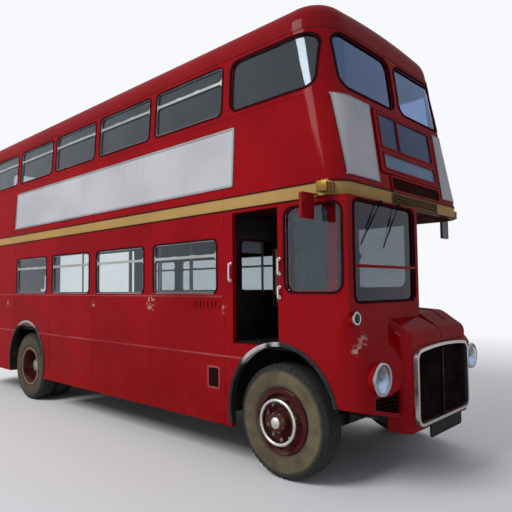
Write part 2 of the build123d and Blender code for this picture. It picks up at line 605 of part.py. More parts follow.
frame_solid = frame_solid + block(X_FRONT_AXLE + 855, X_FRONT_AXLE + 935, -575, 575, 460, 520)
for s in (-1, 1):
    y0, y1 = sorted((s * rail_y, s * (rail_y + 30)))
    frame_solid = frame_solid + block(X_FRONT_AXLE + 855, X_FRONT_AXLE + 935, y0, y1, 460, 540)
parts["front_subframe"] = frame_solid


def ring_y(points, x, y, z):
    plane = Plane(origin=(x, y, z), x_dir=(1, 0, 0), z_dir=(0, 0, 1))
    face = plane * make_face(Polyline(*points, close=True))
    return revolve(face, Axis((x, y, z), (0, 1, 0)), 360)


# Steering knuckles, front wheels and rear twin wheels
knuckle = rod_z(X_FRONT_AXLE, KINGPIN_Y, 400, 630, 58)
knuckle = knuckle + rod_y(X_FRONT_AXLE, KINGPIN_Y, FRONT_TYRE_Y + 100, AXLE_Z, HUB_BORE)
knuckle = knuckle + rod_y(X_FRONT_AXLE, FRONT_TYRE_Y - 85, FRONT_TYRE_Y - 75, AXLE_Z, 200)
knuckle = knuckle + block(X_FRONT_AXLE - 200, X_FRONT_AXLE - 30, 800, 840, 480, 520)
knuckle = knuckle - rod_z(X_FRONT_AXLE, KINGPIN_Y, 300, 700, 28.5)

half_tyre = ((RIM_R + 0.4, 95), (290, 95), (315, 114), (380, TYRE_W / 2), (445, 124), (482, 110), (502, 92),
             (TYRE_R, 66))
tyre_outline = half_tyre + tuple((r, -w) for r, w in reversed(half_tyre))
barrel = ((248, -112), (286, -112), (286, -98), (RIM_R, -98), (RIM_R, 98), (286, 98), (286, 112), (248, 112))
bore = HUB_BORE + 0.5
front_hub = ((bore, -60), (95, -60), (95, 170), (75, 190), (0, 190), (0, 110), (bore, 110))
front_disc = ((90, 80), (90, 98), (150, 96), (249, 56), (249, 38), (148, 78))
front_drum = ((205, -70), (215, -70), (215, 36), (90, 36), (90, 24), (205, 24))
nut_ring = ((182, 148), (204, 148), (206, 160), (196, 172), (184, 164))

front_wheel = ring_y(barrel, X_FRONT_AXLE, FRONT_TYRE_Y, AXLE_Z)
for points in (front_hub, front_disc, front_drum, nut_ring):
    front_wheel = front_wheel + ring_y(points, X_FRONT_AXLE, FRONT_TYRE_Y, AXLE_Z)
for i in range(5):
    a = radians(72 * i)
    front_wheel = front_wheel + rod_y(X_FRONT_AXLE + 193 * cos(a), FRONT_TYRE_Y + 70, FRONT_TYRE_Y + 155,
                                      AXLE_Z + 193 * sin(a), 8)
front_tyre = ring_y(tyre_outline, X_FRONT_AXLE, FRONT_TYRE_Y, AXLE_Z)

twin_y = sum(REAR_TYRE_YS) / 2
twin_half = (REAR_TYRE_YS[1] - REAR_TYRE_YS[0]) / 2
rear_hub = ((bore, -270), (110, -270), (110, 60), (95, 60), (95, 150), (80, 165), (0, 165), (0, 120),
            (bore, 120))
outer_disc = ((105, 3), (105, 18), (148, 18), (249, 75), (249, 58), (150, 3))
rear_drum = ((200, -250), (214, -250), (214, -22), (105, -22), (105, -36), (200, -36))
twin_wheel = ring_y(rear_hub, X_REAR_AXLE, twin_y, AXLE_Z)
twin_wheel = twin_wheel + ring_y(rear_drum, X_REAR_AXLE, twin_y, AXLE_Z)
inner_disc = tuple((r, -w) for r, w in outer_disc)
for points in (outer_disc, inner_disc):
    twin_wheel = twin_wheel + ring_y(points, X_REAR_AXLE, twin_y, AXLE_Z)
for y in REAR_TYRE_YS:
    twin_wheel = twin_wheel + ring_y(barrel, X_REAR_AXLE, y, AXLE_Z)
twin_tyres = Compound(children=[ring_y(tyre_outline, X_REAR_AXLE, y, AXLE_Z) for y in REAR_TYRE_YS])

for label, shape in (("steering_knuckle", knuckle), ("front_wheel", front_wheel), ("front_tyre", front_tyre),
                     ("rear_wheels", twin_wheel), ("rear_tyres", twin_tyres)):
    near, off = both_sides(shape)
    parts[label + "_nearside"] = near
    parts[label + "_offside"] = off

# Rear axle with its final drive, propeller shaft and gearbox
axle = rod_y(X_REAR_AXLE, -620, 620, AXLE_Z, 72)
axle = axle + rod_y(X_REAR_AXLE, -twin_y - 110, twin_y + 110, AXLE_Z, HUB_BORE)
axle = axle + rod_x(X_REAR_AXLE - 170, X_REAR_AXLE + 170, -120, 455, 150)
axle = axle + rod_x(X_REAR_AXLE + 160, X_REAR_AXLE + 1900, -120, 470, 45)
axle = axle + block(X_REAR_AXLE + 1890, X_REAR_AXLE + 2500, -320, 80, 330, FLOOR_Z - FLOOR_DEPTH)
for y in (-470, 470):
    axle = axle + block(X_REAR_AXLE - 60, X_REAR_AXLE + 60, y - 45, y + 45, AXLE_Z, FLOOR_Z - FLOOR_DEPTH)
parts["rear_axle"] = axle
tank = block(X_REAR_AXLE + 1300, X_REAR_AXLE + 2500, -1100, -620, 330, FLOOR_Z - FLOOR_DEPTH)
parts["fuel_tank"] = fillet(tank.edges().filter_by(Axis.X), 60)

# Sliding cab door, drawn open
DOOR_TRAVEL = 580
door_y = -HALF + WALL + 6
door_back = door_x0 - 12 + DOOR_TRAVEL
door_front = door_x0 + door_w + 20 + DOOR_TRAVEL
door = block(door_back, door_front, door_y, door_y + SHEET, CAB_FLOOR_Z + 8, BAND_Z - 20)
door_mid = door_x0 + door_w / 2 + DOOR_TRAVEL
door_light = side_prism(door_mid, 2035, 430, 700, 60, BODY_WIDTH)
parts["cab_door"] = door - door_light
pane_zone = block(X_REAR, X_NOSE, door_y + 12, door_y + 18, 0, HEIGHT)
parts["cab_door_glass"] = side_prism(door_mid, 2035, 429.4, 699.4, 60, BODY_WIDTH) & pane_zone

os.makedirs("parts", exist_ok=True)
for name, shape in parts.items():
    export_step(shape, f"parts/{name}.step")
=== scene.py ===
import math
import bpy
import bmesh
from mathutils import Matrix, Vector
from mathutils.bvhtree import BVHTree


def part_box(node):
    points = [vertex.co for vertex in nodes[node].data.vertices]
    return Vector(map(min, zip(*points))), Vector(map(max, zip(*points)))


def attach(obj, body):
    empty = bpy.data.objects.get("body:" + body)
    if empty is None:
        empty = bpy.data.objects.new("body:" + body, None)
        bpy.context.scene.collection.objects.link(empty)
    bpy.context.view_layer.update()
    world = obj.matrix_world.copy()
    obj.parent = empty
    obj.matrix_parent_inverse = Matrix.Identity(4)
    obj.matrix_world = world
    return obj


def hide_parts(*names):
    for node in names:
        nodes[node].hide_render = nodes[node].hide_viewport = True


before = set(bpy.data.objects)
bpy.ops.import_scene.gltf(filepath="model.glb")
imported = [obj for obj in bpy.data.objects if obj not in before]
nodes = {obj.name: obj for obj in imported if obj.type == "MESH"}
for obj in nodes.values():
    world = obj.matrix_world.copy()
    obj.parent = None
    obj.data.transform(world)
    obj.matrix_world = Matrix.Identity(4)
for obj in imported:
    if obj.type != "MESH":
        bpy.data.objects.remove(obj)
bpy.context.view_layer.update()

# Underframe: pressed steel rails and arms in chassis black with cast drive units and forged
# stub axles, bolted under the floor and dulled by oil film and road dust.
DUST, DUST_Z = (0.17, 0.125, 0.085), (0.3, 1.1)
FORWARD = (1, 0, 0)


def wired(tree, kind, values, **settings):
    node = tree.nodes.new("ShaderNode" + kind)
    for key, setting in settings.items():
        setattr(node, key, setting)
    for key, value in values.items():
        if isinstance(value, bpy.types.NodeSocket):
            tree.links.new(value, node.inputs[key])
        else:
            node.inputs[key].default_value = value
    return node.outputs


def shader(name, metallic, rough, coat, specular):
    mat = bpy.data.materials.new(name)
    mat.use_nodes = True
    bsdf = mat.node_tree.nodes["Principled BSDF"]
    for key, value in (("Metallic", metallic), ("Roughness", rough), ("Coat Weight", coat),
                       ("Coat Roughness", 0.10), ("Specular IOR Level", specular)):
        bsdf.inputs[key].default_value = value
    return mat, mat.node_tree, bsdf


def object_place(tree):
    return wired(tree, "TexCoord", {})["Object"]


def axes(tree):
    return wired(tree, "SeparateXYZ", {"Vector": object_place(tree)})


def noise(tree, scale, detail, stretch=None):
    place = object_place(tree)
    if stretch:
        place = wired(tree, "Mapping", {"Vector": place, "Scale": stretch})["Vector"]
    return wired(tree, "TexNoise", {"Vector": place, "Scale": scale, "Detail": detail})["Fac"]


def ramp(tree, value, low, high, a=0.0, b=1.0):
    spans = {"Value": value, "From Min": low, "From Max": high, "To Min": a, "To Max": b}
    return wired(tree, "MapRange", spans, interpolation_type="SMOOTHSTEP")["Result"]


def mottle(tree, scale, detail, low, high, a=0.0, b=1.0, stretch=None):
    return ramp(tree, noise(tree, scale, detail, stretch), low, high, a, b)


def blend(tree, factor, a, b):
    a, b = ((*colour, 1.0) if isinstance(colour, tuple) else colour for colour in (a, b))
    return wired(tree, "Mix", {"Factor": factor, "A": a, "B": b}, data_type="RGBA")["Result"]


def times(tree, a, b):
    return wired(tree, "Math", {0: a, 1: b}, operation="MULTIPLY")[0]


def surface(tree, bsdf, colour, gloss):
    tree.links.new(colour, bsdf.inputs["Base Color"])
    tree.links.new(gloss, bsdf.inputs["Roughness"])


def bump(tree, bsdf, value, strength, distance):
    raised = wired(tree, "Bump", {"Height": value, "Strength": strength, "Distance": distance})
    tree.links.new(raised["Normal"], bsdf.inputs["Normal"])


def facing_in(tree, across, shift):
    reach = wired(tree, "VectorMath", {0: object_place(tree), 1: across, 2: shift},
                  operation="MULTIPLY_ADD")
    normal = wired(tree, "NewGeometry", {})["Normal"]
    toward = wired(tree, "VectorMath", {0: reach[0], 1: normal}, operation="DOT_PRODUCT")
    return ramp(tree, toward["Value"], -0.5, -0.35, 1.0, 0.0)


def painted(name, colour, shade, rough=0.35, coat=0.12, dust=0.05, metallic=0.0, wave=0.2,
            lining=None, specular=0.0):
    mat, tree, bsdf = shader(name, metallic, rough, coat, specular)
    base = blend(tree, mottle(tree, 0.9, 3.0, 0.3, 0.7), colour, shade)
    film = ramp(tree, axes(tree)["Z"], *DUST_Z, dust, dust * 0.15)
    base = blend(tree, times(tree, film, mottle(tree, 5.0, 6.0, 0.35, 0.75)), base, DUST)
    streak = times(tree, mottle(tree, 14.0, 5.0, 0.55, 0.85, stretch=(1.0, 1.0, 0.06)), 0.2)
    base = blend(tree, streak, base, tuple(c * 0.5 for c in shade))
    chips = times(tree, mottle(tree, 55.0, 3.0, 0.70, 0.74), 0.15)
    base = blend(tree, chips, base, tuple(0.5 * c + 0.06 for c in colour))
    if lining:
        across, shift, colour_in = lining
        base = blend(tree, facing_in(tree, across, shift), base, colour_in)
    surface(tree, bsdf, base, mottle(tree, 7.0, 5.0, 0.2, 0.8, rough * 0.7, rough * 1.5))
    bump(tree, bsdf, noise(tree, 1.6, 2.0), wave, 0.02)
    return mat


def dress(material, *names):
    for name in names:
        nodes[name].data.materials.clear()
        nodes[name].data.materials.append(material)


def fit(bm, name, material, body="body", crease=38.0):
    bmesh.ops.remove_doubles(bm, verts=bm.verts, dist=1e-5)
    bmesh.ops.recalc_face_normals(bm, faces=bm.faces)
    mesh = bpy.data.meshes.new(name)
    bm.to_mesh(mesh)
    bm.free()
    mesh.shade_smooth()
    mesh.set_sharp_from_angle(angle=math.radians(crease))
    mesh.materials.append(material)
    piece = bpy.data.objects.new(name, mesh)
    bpy.context.scene.collection.objects.link(piece)
    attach(piece, body)
    return piece


def bar(bm, low, high, edge=0.0):
    low, high = Vector(low), Vector(high)
    shape = Matrix.Translation((low + high) / 2) @ Matrix.Diagonal((*(high - low), 1.0))
    made = bmesh.ops.create_cube(bm, size=1.0, matrix=shape)
    if edge:
        rims = list({e for v in made["verts"] for e in v.link_edges})
        bmesh.ops.bevel(bm, geom=rims, offset=edge, affect="EDGES", segments=2, profile=0.5, material=-1)


def rod(bm, start, end, radius, segments=12, taper=1.0):
    start, end = Vector(start), Vector(end)
    turn = (end - start).to_track_quat("Z", "Y").to_matrix().to_4x4()
    bmesh.ops.create_cone(bm, cap_ends=True, segments=segments, radius1=radius, radius2=radius * taper,
                          depth=(end - start).length, matrix=Matrix.Translation((start + end) / 2) @ turn)


def turned(bm, outline, centre, axis, steps=48, closed=True):
    centre, axis = Vector(centre), Vector(axis)
    radial = Vector((1, 0, 0)) if axis.z else Vector((0, 0, 1))
    rim = [bm.verts.new(centre + radial * r + axis * w) for r, w in outline]
    chain = rim[1:] + rim[:1] if closed else rim[1:]
    edges = [bm.edges.new(pair) for pair in zip(rim, chain)]
    bmesh.ops.spin(bm, geom=rim + edges, cent=centre, axis=axis, angle=math.tau, steps=steps,
                   use_merge=True)


BLACK = painted("chassis_black", (0.016, 0.016, 0.017), (0.010, 0.010, 0.010), rough=0.5, coat=0.0,
                dust=0.7)
IRON = painted("cast_iron", (0.06, 0.055, 0.05), (0.035, 0.032, 0.03), rough=0.7, coat=0.0, dust=0.8,
               metallic=0.5)
SCALED = painted("scaled_steel", (0.10, 0.06, 0.04), (0.05, 0.035, 0.025), rough=0.8, coat=0.0, dust=0.5,
                 metallic=0.4)
dress(BLACK, "rear_wheel_boxes", "cab_floor", "steering_column", "radiator", "front_subframe", "fuel_tank")
dress(IRON, "engine_block", "rear_axle", "steering_knuckle_nearside", "steering_knuckle_offside")

hub_low, hub_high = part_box("front_tyre_offside")
axle_front = (hub_low.x + hub_high.x) / 2
hub_z = (hub_low.z + hub_high.z) / 2
hub_low, hub_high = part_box("rear_tyres_offside")
axle_rear = (hub_low.x + hub_high.x) / 2
tank_low, tank_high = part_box("fuel_tank")

STRAP_W, STRAP_T, STRAP_INSET, STRAP_CORNER, STRAP_EDGE = 0.05, 0.006, 0.25, 0.06, 0.002
SHAFT_Y, SHAFT_Z = -0.12, 0.47
COVER_BOLTS, COVER_RADIUS, BOLT_R = 12, 0.125, 0.011
COUPLING = ((0.046, -0.05), (0.078, -0.045), (0.078, 0.045), (0.046, 0.05))
gear = bmesh.new()
for x in (tank_low.x + STRAP_INSET, tank_high.x - STRAP_INSET):
    x0, x1 = x - STRAP_W / 2, x + STRAP_W / 2
    bar(gear, (x0, tank_low.y - STRAP_T, tank_low.z + STRAP_CORNER),
        (x1, tank_low.y + 0.002, tank_high.z), STRAP_EDGE)
    bar(gear, (x0, tank_low.y + STRAP_CORNER, tank_low.z - STRAP_T),
        (x1, tank_high.y - STRAP_CORNER, tank_low.z + 0.002), STRAP_EDGE)
drive_cover = Vector((axle_rear - 0.17, SHAFT_Y, 0.455))
for i in range(COVER_BOLTS):
    a = math.tau * i / COVER_BOLTS
    place = drive_cover + COVER_RADIUS * Vector((0, math.cos(a), math.sin(a)))
    rod(gear, place + Vector((0.002, 0, 0)), place - Vector((0.016, 0, 0)), BOLT_R, 6)
for x in (axle_rear + 0.30, axle_rear + 1.80):
    turned(gear, COUPLING, (x, SHAFT_Y, SHAFT_Z), FORWARD, 20)
fit(gear, "tank_straps_and_drive_bolts", IRON)

PIPE_Y, PIPE_Z, PIPE_R = 0.72, 0.43, 0.034
HANGERS, HANGER_TOP = (0.42, 1.08, -0.50), 0.612
SILENCER = ((0.03, -0.46), (0.09, -0.45), (0.104, -0.43), (0.104, 0.43), (0.09, 0.45), (0.03, 0.46))
DOWNPIPE = ((2.3, 0.42, PIPE_Z), (1.75, 0.46, PIPE_Z), (1.2, PIPE_Y, PIPE_Z))
TAILPIPE = ((0.3, PIPE_Y, PIPE_Z), (-0.9, PIPE_Y, PIPE_Z), (-1.15, 0.86, 0.38))
exhaust = bmesh.new()
turned(exhaust, SILENCER, (0.75, PIPE_Y, PIPE_Z), FORWARD, 28)
for pipe in (DOWNPIPE, TAILPIPE):
    for start, end in zip(pipe, pipe[1:]):
        rod(exhaust, start, end, PIPE_R, 16)
for x in HANGERS:
    bar(exhaust, (x - 0.02, PIPE_Y - 0.012, PIPE_Z), (x + 0.02, PIPE_Y + 0.012, HANGER_TOP), 0.002)
bar(exhaust, (2.18, 0.42, PIPE_Z - 0.02), (2.26, 0.50, PIPE_Z + 0.16), 0.004)
fit(exhaust, "exhaust", SCALED)

# Tyres: cross-ply truck tyres moulded in black rubber, with ribbed tread, zigzag grooves and
# shoulder lugs; the sidewalls are scrubbed to a tan bloom by kerbs and dust.
SIDES = (("nearside", 1), ("offside", -1))
SIDEWALL = ((0.2624, 0.0945), (0.288, 0.096), (0.301, 0.107), (0.325, 0.1175), (0.352, 0.1245),
            (0.385, 0.1278), (0.418, 0.1272), (0.446, 0.1238), (0.4605, 0.1195), (0.4625, 0.1225),
            (0.4735, 0.1205), (0.476, 0.1135), (0.492, 0.103), (0.5015, 0.0935))
TREAD = ((0.5065, 0.067), (0.494, 0.065), (0.494, 0.060), (0.508, 0.058), (0.5092, 0.0245), (0.496, 0.0225),
         (0.496, 0.0175), (0.5098, 0.0155))
TREAD_HALF, ZIGZAG, TYRE_STEPS = 0.068, 0.0035, 96
LUGS, LUG_SIZE, LUG_LEAN = 54, (0.024, 0.011, 0.026), math.radians(38)
LUG_OUT, LUG_RADIUS = 0.106, 0.487
FRONT_TYRE_Y, REAR_TYRE_YS = 1.01, (0.752, 1.042)


def tyre_rubber(name, axle_x, bloom):
    mat, tree, bsdf = shader(name, 0.0, 0.82, 0.0, 0.25)
    centred = wired(tree, "Mapping", {"Vector": object_place(tree), "Location": (-axle_x, 0.0, -hub_z),
                                      "Scale": (1.0, 0.0, 1.0)})["Vector"]
    out = wired(tree, "VectorMath", {0: centred}, operation="LENGTH")["Value"]
    wall = times(tree, ramp(tree, out, 0.285, 0.33), ramp(tree, out, 0.430, 0.462, 1.0, 0.0))
    wall = times(tree, wall, mottle(tree, 9.0, 5.0, 0.25, 0.6, 0.55, 0.95))
    rubber = blend(tree, mottle(tree, 30.0, 4.0, 0.3, 0.7), (0.020, 0.020, 0.020), (0.036, 0.034, 0.031))
    tan = blend(tree, mottle(tree, 4.0, 4.0, 0.3, 0.7), bloom, tuple(c * 0.6 for c in bloom))
    surface(tree, bsdf, blend(tree, wall, rubber, tan), mottle(tree, 40.0, 4.0, 0.2, 0.8, 0.7, 0.95))
    bump(tree, bsdf, noise(tree, 220.0, 3.0), 0.25, 0.002)
    return mat


def mould_tyre(bm, axle_x, y_mid):
    section = SIDEWALL + TREAD
    section = section + tuple((r, -w) for r, w in reversed(section))
    first = len(bm.verts)
    turned(bm, section, (axle_x, y_mid, hub_z), (0, 1, 0), TYRE_STEPS)
    bm.verts.ensure_lookup_table()
    for vert in bm.verts[first:]:
        if abs(vert.co.y - y_mid) < TREAD_HALF:
            angle = math.atan2(vert.co.z - hub_z, vert.co.x - axle_x)
            vert.co.y += ZIGZAG * (1 if round(angle / math.tau * TYRE_STEPS) % 2 else -1)
    for hand in (-1, 1):
        place = Vector((axle_x, y_mid + hand * LUG_OUT, hub_z + LUG_RADIUS))
        slope = Matrix.Rotation(hand * LUG_LEAN, 4, "X")
        shape = Matrix.Translation(place) @ slope @ Matrix.Diagonal((*LUG_SIZE, 1.0))
        lug = bmesh.ops.create_cube(bm, size=1.0, matrix=shape)["verts"]
        faces = list({f for v in lug for f in v.link_faces})
        edges = list({e for v in lug for e in v.link_edges})
        bmesh.ops.spin(bm, geom=lug + edges + faces, cent=(axle_x, y_mid, hub_z), axis=(0, 1, 0),
                       angle=math.tau * (LUGS - 1) / LUGS, steps=LUGS - 1, use_duplicate=True)


RUBBER_FRONT = tyre_rubber("front_tyre_rubber", axle_front, (0.16, 0.122, 0.070))
RUBBER_REAR = tyre_rubber("rear_tyre_rubber", axle_rear, (0.085, 0.066, 0.044))
TYRES = (("front_tyre", "front_wheel_", axle_front, (FRONT_TYRE_Y,), RUBBER_FRONT),
         ("rear_tyres", "rear_wheel_", axle_rear, REAR_TYRE_YS, RUBBER_REAR))
for side, hand in SIDES:
    for name, wheel, axle_x, places, rubber in TYRES:
        tyre = bmesh.new()
        for y in places:
            mould_tyre(tyre, axle_x, hand * y)
        piece = fit(tyre, name + "_moulded_" + side, rubber, wheel + side)
        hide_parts(name + "_" + side)

# Wheels: pressed steel discs in dark maroon, held by ten nuts, with a bright guard ring standing
# off the front hub, a domed hub cap, and the rear half-shaft flange with its ring of bolts.
WHEEL = painted("wheel_maroon", (0.085, 0.010, 0.012), (0.055, 0.007, 0.009), rough=0.42, coat=0.1,
                dust=0.55)
NUT_STEEL = painted("nut_steel", (0.42, 0.40, 0.37), (0.30, 0.28, 0.26), rough=0.4, coat=0.0, dust=0.4,
                    metallic=0.8)
BRIGHT = painted("bright_ring", (0.70, 0.69, 0.67), (0.60, 0.59, 0.57), rough=0.25, coat=0.0, dust=0.15,
                 metallic=0.85)
WORN_RIM = painted("worn_rim", (0.30, 0.22, 0.13), (0.20, 0.14, 0.08), rough=0.6, coat=0.0, dust=0.3,
                   metallic=0.3)
dress(WHEEL, "front_wheel_nearside", "front_wheel_offside", "rear_wheels_nearside", "rear_wheels_offside")
GUARD_R, GUARD_OUT, GUARD_ROD, GUARD_FACETS = 0.194, 0.1605, 0.0155, 10
GUARD = tuple((GUARD_R + GUARD_ROD * math.cos(a), GUARD_OUT + GUARD_ROD * math.sin(a))
              for a in (math.tau * i / GUARD_FACETS for i in range(GUARD_FACETS)))
HUB_CAP = ((0.0, 0.212), (0.022, 0.210), (0.040, 0.204), (0.050, 0.195), (0.050, 0.188), (0.0, 0.188))
LOCK_RING = ((0.268, 0.104), (0.290, 0.104), (0.292, 0.112), (0.284, 0.118), (0.268, 0.116))
SHAFT_FLANGE = ((0.0, 0.176), (0.05, 0.175), (0.062, 0.169), (0.088, 0.168), (0.090, 0.160), (0.0, 0.160))
# Each ring of nuts: radius of the ring, count, foot and top from the hub, size of a nut.
FRONT_NUTS, FRONT_STUDS = (0.163, 10, 0.084, 0.110, 0.017), (0.082, 8, 0.168, 0.180, 0.009)
REAR_NUTS, REAR_STUDS = (0.130, 10, 0.016, 0.046, 0.017), (0.075, 8, 0.166, 0.178, 0.009)


def ring_of_nuts(bm, centre, out, radius, count, foot, top, size):
    for i in range(count):
        a = math.tau * (i + 0.5) / count
        place = centre + Vector((radius * math.cos(a), 0, radius * math.sin(a)))
        rod(bm, place + out * foot, place + out * top, size, 6)
        rod(bm, place + out * top, place + out * (top + size * 0.5), size * 0.55, 8)


for side, hand in SIDES:
    out = Vector((0, hand, 0))
    hub = Vector((axle_front, hand * FRONT_TYRE_Y, hub_z))
    nuts, bright, lock = (bmesh.new() for _ in range(3))
    ring_of_nuts(nuts, hub, out, *FRONT_NUTS)
    ring_of_nuts(nuts, hub, out, *FRONT_STUDS)
    turned(bright, GUARD, hub, out, 56)
    turned(bright, HUB_CAP, hub, out, 28, closed=False)
    turned(lock, LOCK_RING, hub, out, 56)
    fit(nuts, "front_wheel_nuts_" + side, NUT_STEEL, "front_wheel_" + side)
    fit(bright, "nut_guard_ring_" + side, BRIGHT, "front_wheel_" + side)
    fit(lock, "front_lock_ring_" + side, WHEEL, "front_wheel_" + side)
    hub = Vector((axle_rear, hand * sum(REAR_TYRE_YS) / 2, hub_z))
    nuts, lock = bmesh.new(), bmesh.new()
    ring_of_nuts(nuts, hub, out, *REAR_NUTS)
    turned(nuts, SHAFT_FLANGE, hub, out, 32, closed=False)
    ring_of_nuts(nuts, hub, out, *REAR_STUDS)
    turned(lock, LOCK_RING, (axle_rear, hand * REAR_TYRE_YS[1], hub_z), out, 56)
    fit(nuts, "rear_wheel_nuts_" + side, NUT_STEEL, "rear_wheel_" + side)
    fit(lock, "rear_lock_ring_" + side, WORN_RIM, "rear_wheel_" + side)

# Floors: boarded decks under brown lino, with hardwood tread slats along the gangways and bright
# alloy nosings screwed to the platform edge and the step; dark board lines the ceiling below.
BROWN, BROWN_SHADE = (0.10, 0.07, 0.05), (0.07, 0.05, 0.035)
CEILING = (0.085, 0.075, 0.055)
LINO = painted("brown_lino", BROWN, BROWN_SHADE, rough=0.6, coat=0.0)
DECKING = painted("upper_decking", BROWN, BROWN_SHADE, rough=0.6, coat=0.0,
                  lining=((0.0, 0.0, 0.0), (0.0, 0.0, 1.0), CEILING))
SLAT_WOOD = painted("slat_wood", (0.20, 0.12, 0.06), (0.13, 0.08, 0.04), rough=0.55, coat=0.1)
NOSING = painted("alloy_nosing", (0.55, 0.54, 0.52), (0.42, 0.41, 0.40), rough=0.4, coat=0.0, dust=0.3,
                 metallic=0.85)
dress(LINO, "saloon_floor", "rear_platform")
dress(DECKING, "upper_floor")
floor_low, floor_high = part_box("saloon_floor")
platform_front, saloon_z = floor_low.x, floor_high.z
platform_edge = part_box("rear_platform")[1].y
upper_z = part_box("upper_floor")[1].z
PLATFORM_Z = 0.43
SLAT_W, SLAT_T, SLAT_PITCH = 0.03, 0.006, 0.055
GANGWAY_SLATS, PLATFORM_SLATS = 9, 20


def spaced(first, pitch, count):
    return [first + pitch * i for i in range(count)]


slats = bmesh.new()
for y in spaced(-SLAT_PITCH * (GANGWAY_SLATS // 2), SLAT_PITCH, GANGWAY_SLATS):
    for x0, x1, z in ((platform_front + 0.05, floor_high.x - 0.05, saloon_z),
                      (platform_front + 0.3, axle_front + 0.25, upper_z)):
        bar(slats, (x0, y - SLAT_W / 2, z), (x1, y + SLAT_W / 2, z + SLAT_T))
for x in spaced(platform_front - 0.10, -SLAT_PITCH, PLATFORM_SLATS):
    bar(slats, (x - SLAT_W / 2, -0.45, PLATFORM_Z), (x + SLAT_W / 2, 1.12, PLATFORM_Z + SLAT_T))
fit(slats, "tread_slats", SLAT_WOOD)
nosing = bmesh.new()
bar(nosing, (-3.84, platform_edge - 0.05, PLATFORM_Z - 0.03),
    (platform_front - 0.02, platform_edge + 0.006, PLATFORM_Z + 0.004), 0.003)
bar(nosing, (platform_front - 0.034, -0.50, saloon_z - 0.03),
    (platform_front + 0.04, 1.16, saloon_z + 0.004), 0.002)
fit(nosing, "step_nosings", NOSING)

# Body walls: riveted aluminium sheets on a light frame, sprayed gloss red outside and lined with
# painted board inside; half-round beads cover the joints, and the rail and sill beads are painted
# pale pink as a highlight along their rounded tops, with some wear.
RED_COLOUR, RED_SHADE = (0.29, 0.0025, 0.006), (0.22, 0.0015, 0.005)
BOARD = (0.075, 0.068, 0.05)
FLAKE = (0.44, 0.24, 0.23)


def red_lined(name, across, shift, inside):
    return painted(name, RED_COLOUR, RED_SHADE, lining=(across, shift, inside))


RED = painted("red_panel_paint", RED_COLOUR, RED_SHADE)
RED_SIDES = red_lined("red_side_paint", (0.0, 0.8, 0.0), (0.0, 0.0, 0.0), BOARD)
RED_ENDS = red_lined("red_end_paint", (0.25, 0.0, 0.0), (0.0, 0.0, 0.0), BOARD)
# Bead paint: a pale pink that stands for the highlight along the rounded beads, with some wear.
BEAD_HIGHLIGHT = painted("bead_highlight_paint", (0.37, 0.065, 0.072), (0.28, 0.012, 0.02), dust=0.1)
dress(RED_SIDES, "lower_side_offside", "lower_side_nearside", "upper_side_offside", "upper_side_nearside")
dress(RED_ENDS, "lower_rear_panel", "upper_front_wall", "upper_rear_wall")

band_low, band_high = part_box("between_decks_band")
half_width = band_high.y
deck_foot, deck_front, deck_tail = band_high.z, band_high.x, band_low.x
deck_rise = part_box("roof")[1].z - deck_foot
SIDE_LEAN, FRONT_LEAN, REAR_LEAN = 0.093, 0.238, 0.210
FRONT_CORNER, REAR_CORNER, TOP_CORNER = 0.190, 0.330, 0.400
STRIP_BACK = -0.004


def deck_plan(z):
    t = min(max((z - deck_foot) / deck_rise, 0.0), 1.0)
    fore = FRONT_CORNER + (TOP_CORNER - FRONT_CORNER) * t
    aft = REAR_CORNER + (TOP_CORNER - REAR_CORNER) * t
    return half_width - SIDE_LEAN * t, deck_front - FRONT_LEAN * t, deck_tail + REAR_LEAN * t, fore, aft


def corner_drop(over, radius):
    over = min(max(over, 0.0), radius)
    return radius - math.sqrt(radius * radius - over * over)


def on_wall(hand):
    def place(u, v, w):
        half, front, tail, fore, aft = deck_plan(v)
        drop = corner_drop(u - front + fore, fore) + corner_drop(tail + aft - u, aft)
        return Vector((u, hand * (half - drop + w), v))
    return place


def pour(bm, part):
    scratch = bpy.data.meshes.new("scratch")
    part.to_mesh(scratch)
    part.free()
    bm.from_mesh(scratch)
    bpy.data.meshes.remove(scratch)


def lay_on(bm, sheet, place, u, v, back, front):
    top = bmesh.ops.extrude_face_region(sheet, geom=sheet.faces[:])["geom"]
    raised = {g for g in top if isinstance(g, bmesh.types.BMVert)}
    for vert in sheet.verts:
        rise = front(vert.co) if vert in raised else back
        vert.co = place(u + vert.co.x, v + vert.co.y, rise)
    pour(bm, sheet)


def grid(wide, tall, cells=(1, 1)):
    sheet = bmesh.new()
    bmesh.ops.create_grid(sheet, x_segments=cells[0], y_segments=cells[1], size=0.5)
    bmesh.ops.scale(sheet, vec=(wide, tall, 1.0), verts=sheet.verts)
    return sheet


def half_round(offset, wide, proud):
    return proud * math.sqrt(max(1.0 - (1.9 * offset / wide) ** 2, 0.04))


def bead_on(bm, place, u0, u1, v, tall, proud, pieces=24):
    strip = grid(u1 - u0, tall, (pieces, 4))
    lay_on(bm, strip, place, (u0 + u1) / 2, v, STRIP_BACK, lambda co: half_round(co.y, tall, proud))


def post_on(bm, place, u, v0, v1, wide, proud):
    strip = grid(wide, v1 - v0, (4, 6))
    lay_on(bm, strip, place, u, (v0 + v1) / 2, STRIP_BACK, lambda co: half_round(co.x, wide, proud))


def rivets_on(bm, place, points, size=0.0055):
    for u, v in points:
        rod(bm, place(u, v, -0.002), place(u, v, 0.0035), size, 6, 0.55)


def flaked(material, spots):
    tree = material.node_tree
    socket = tree.nodes["Principled BSDF"].inputs["Base Color"]
    base = socket.links[0].from_socket
    for centre, radius in spots:
        near = wired(tree, "VectorMath", {0: object_place(tree), 1: centre}, operation="DISTANCE")["Value"]
        patch = times(tree, ramp(tree, near, radius, radius * 0.4), mottle(tree, 26.0, 4.0, 0.50, 0.55))
        base = blend(tree, patch, base, FLAKE)
    tree.links.new(base, socket)


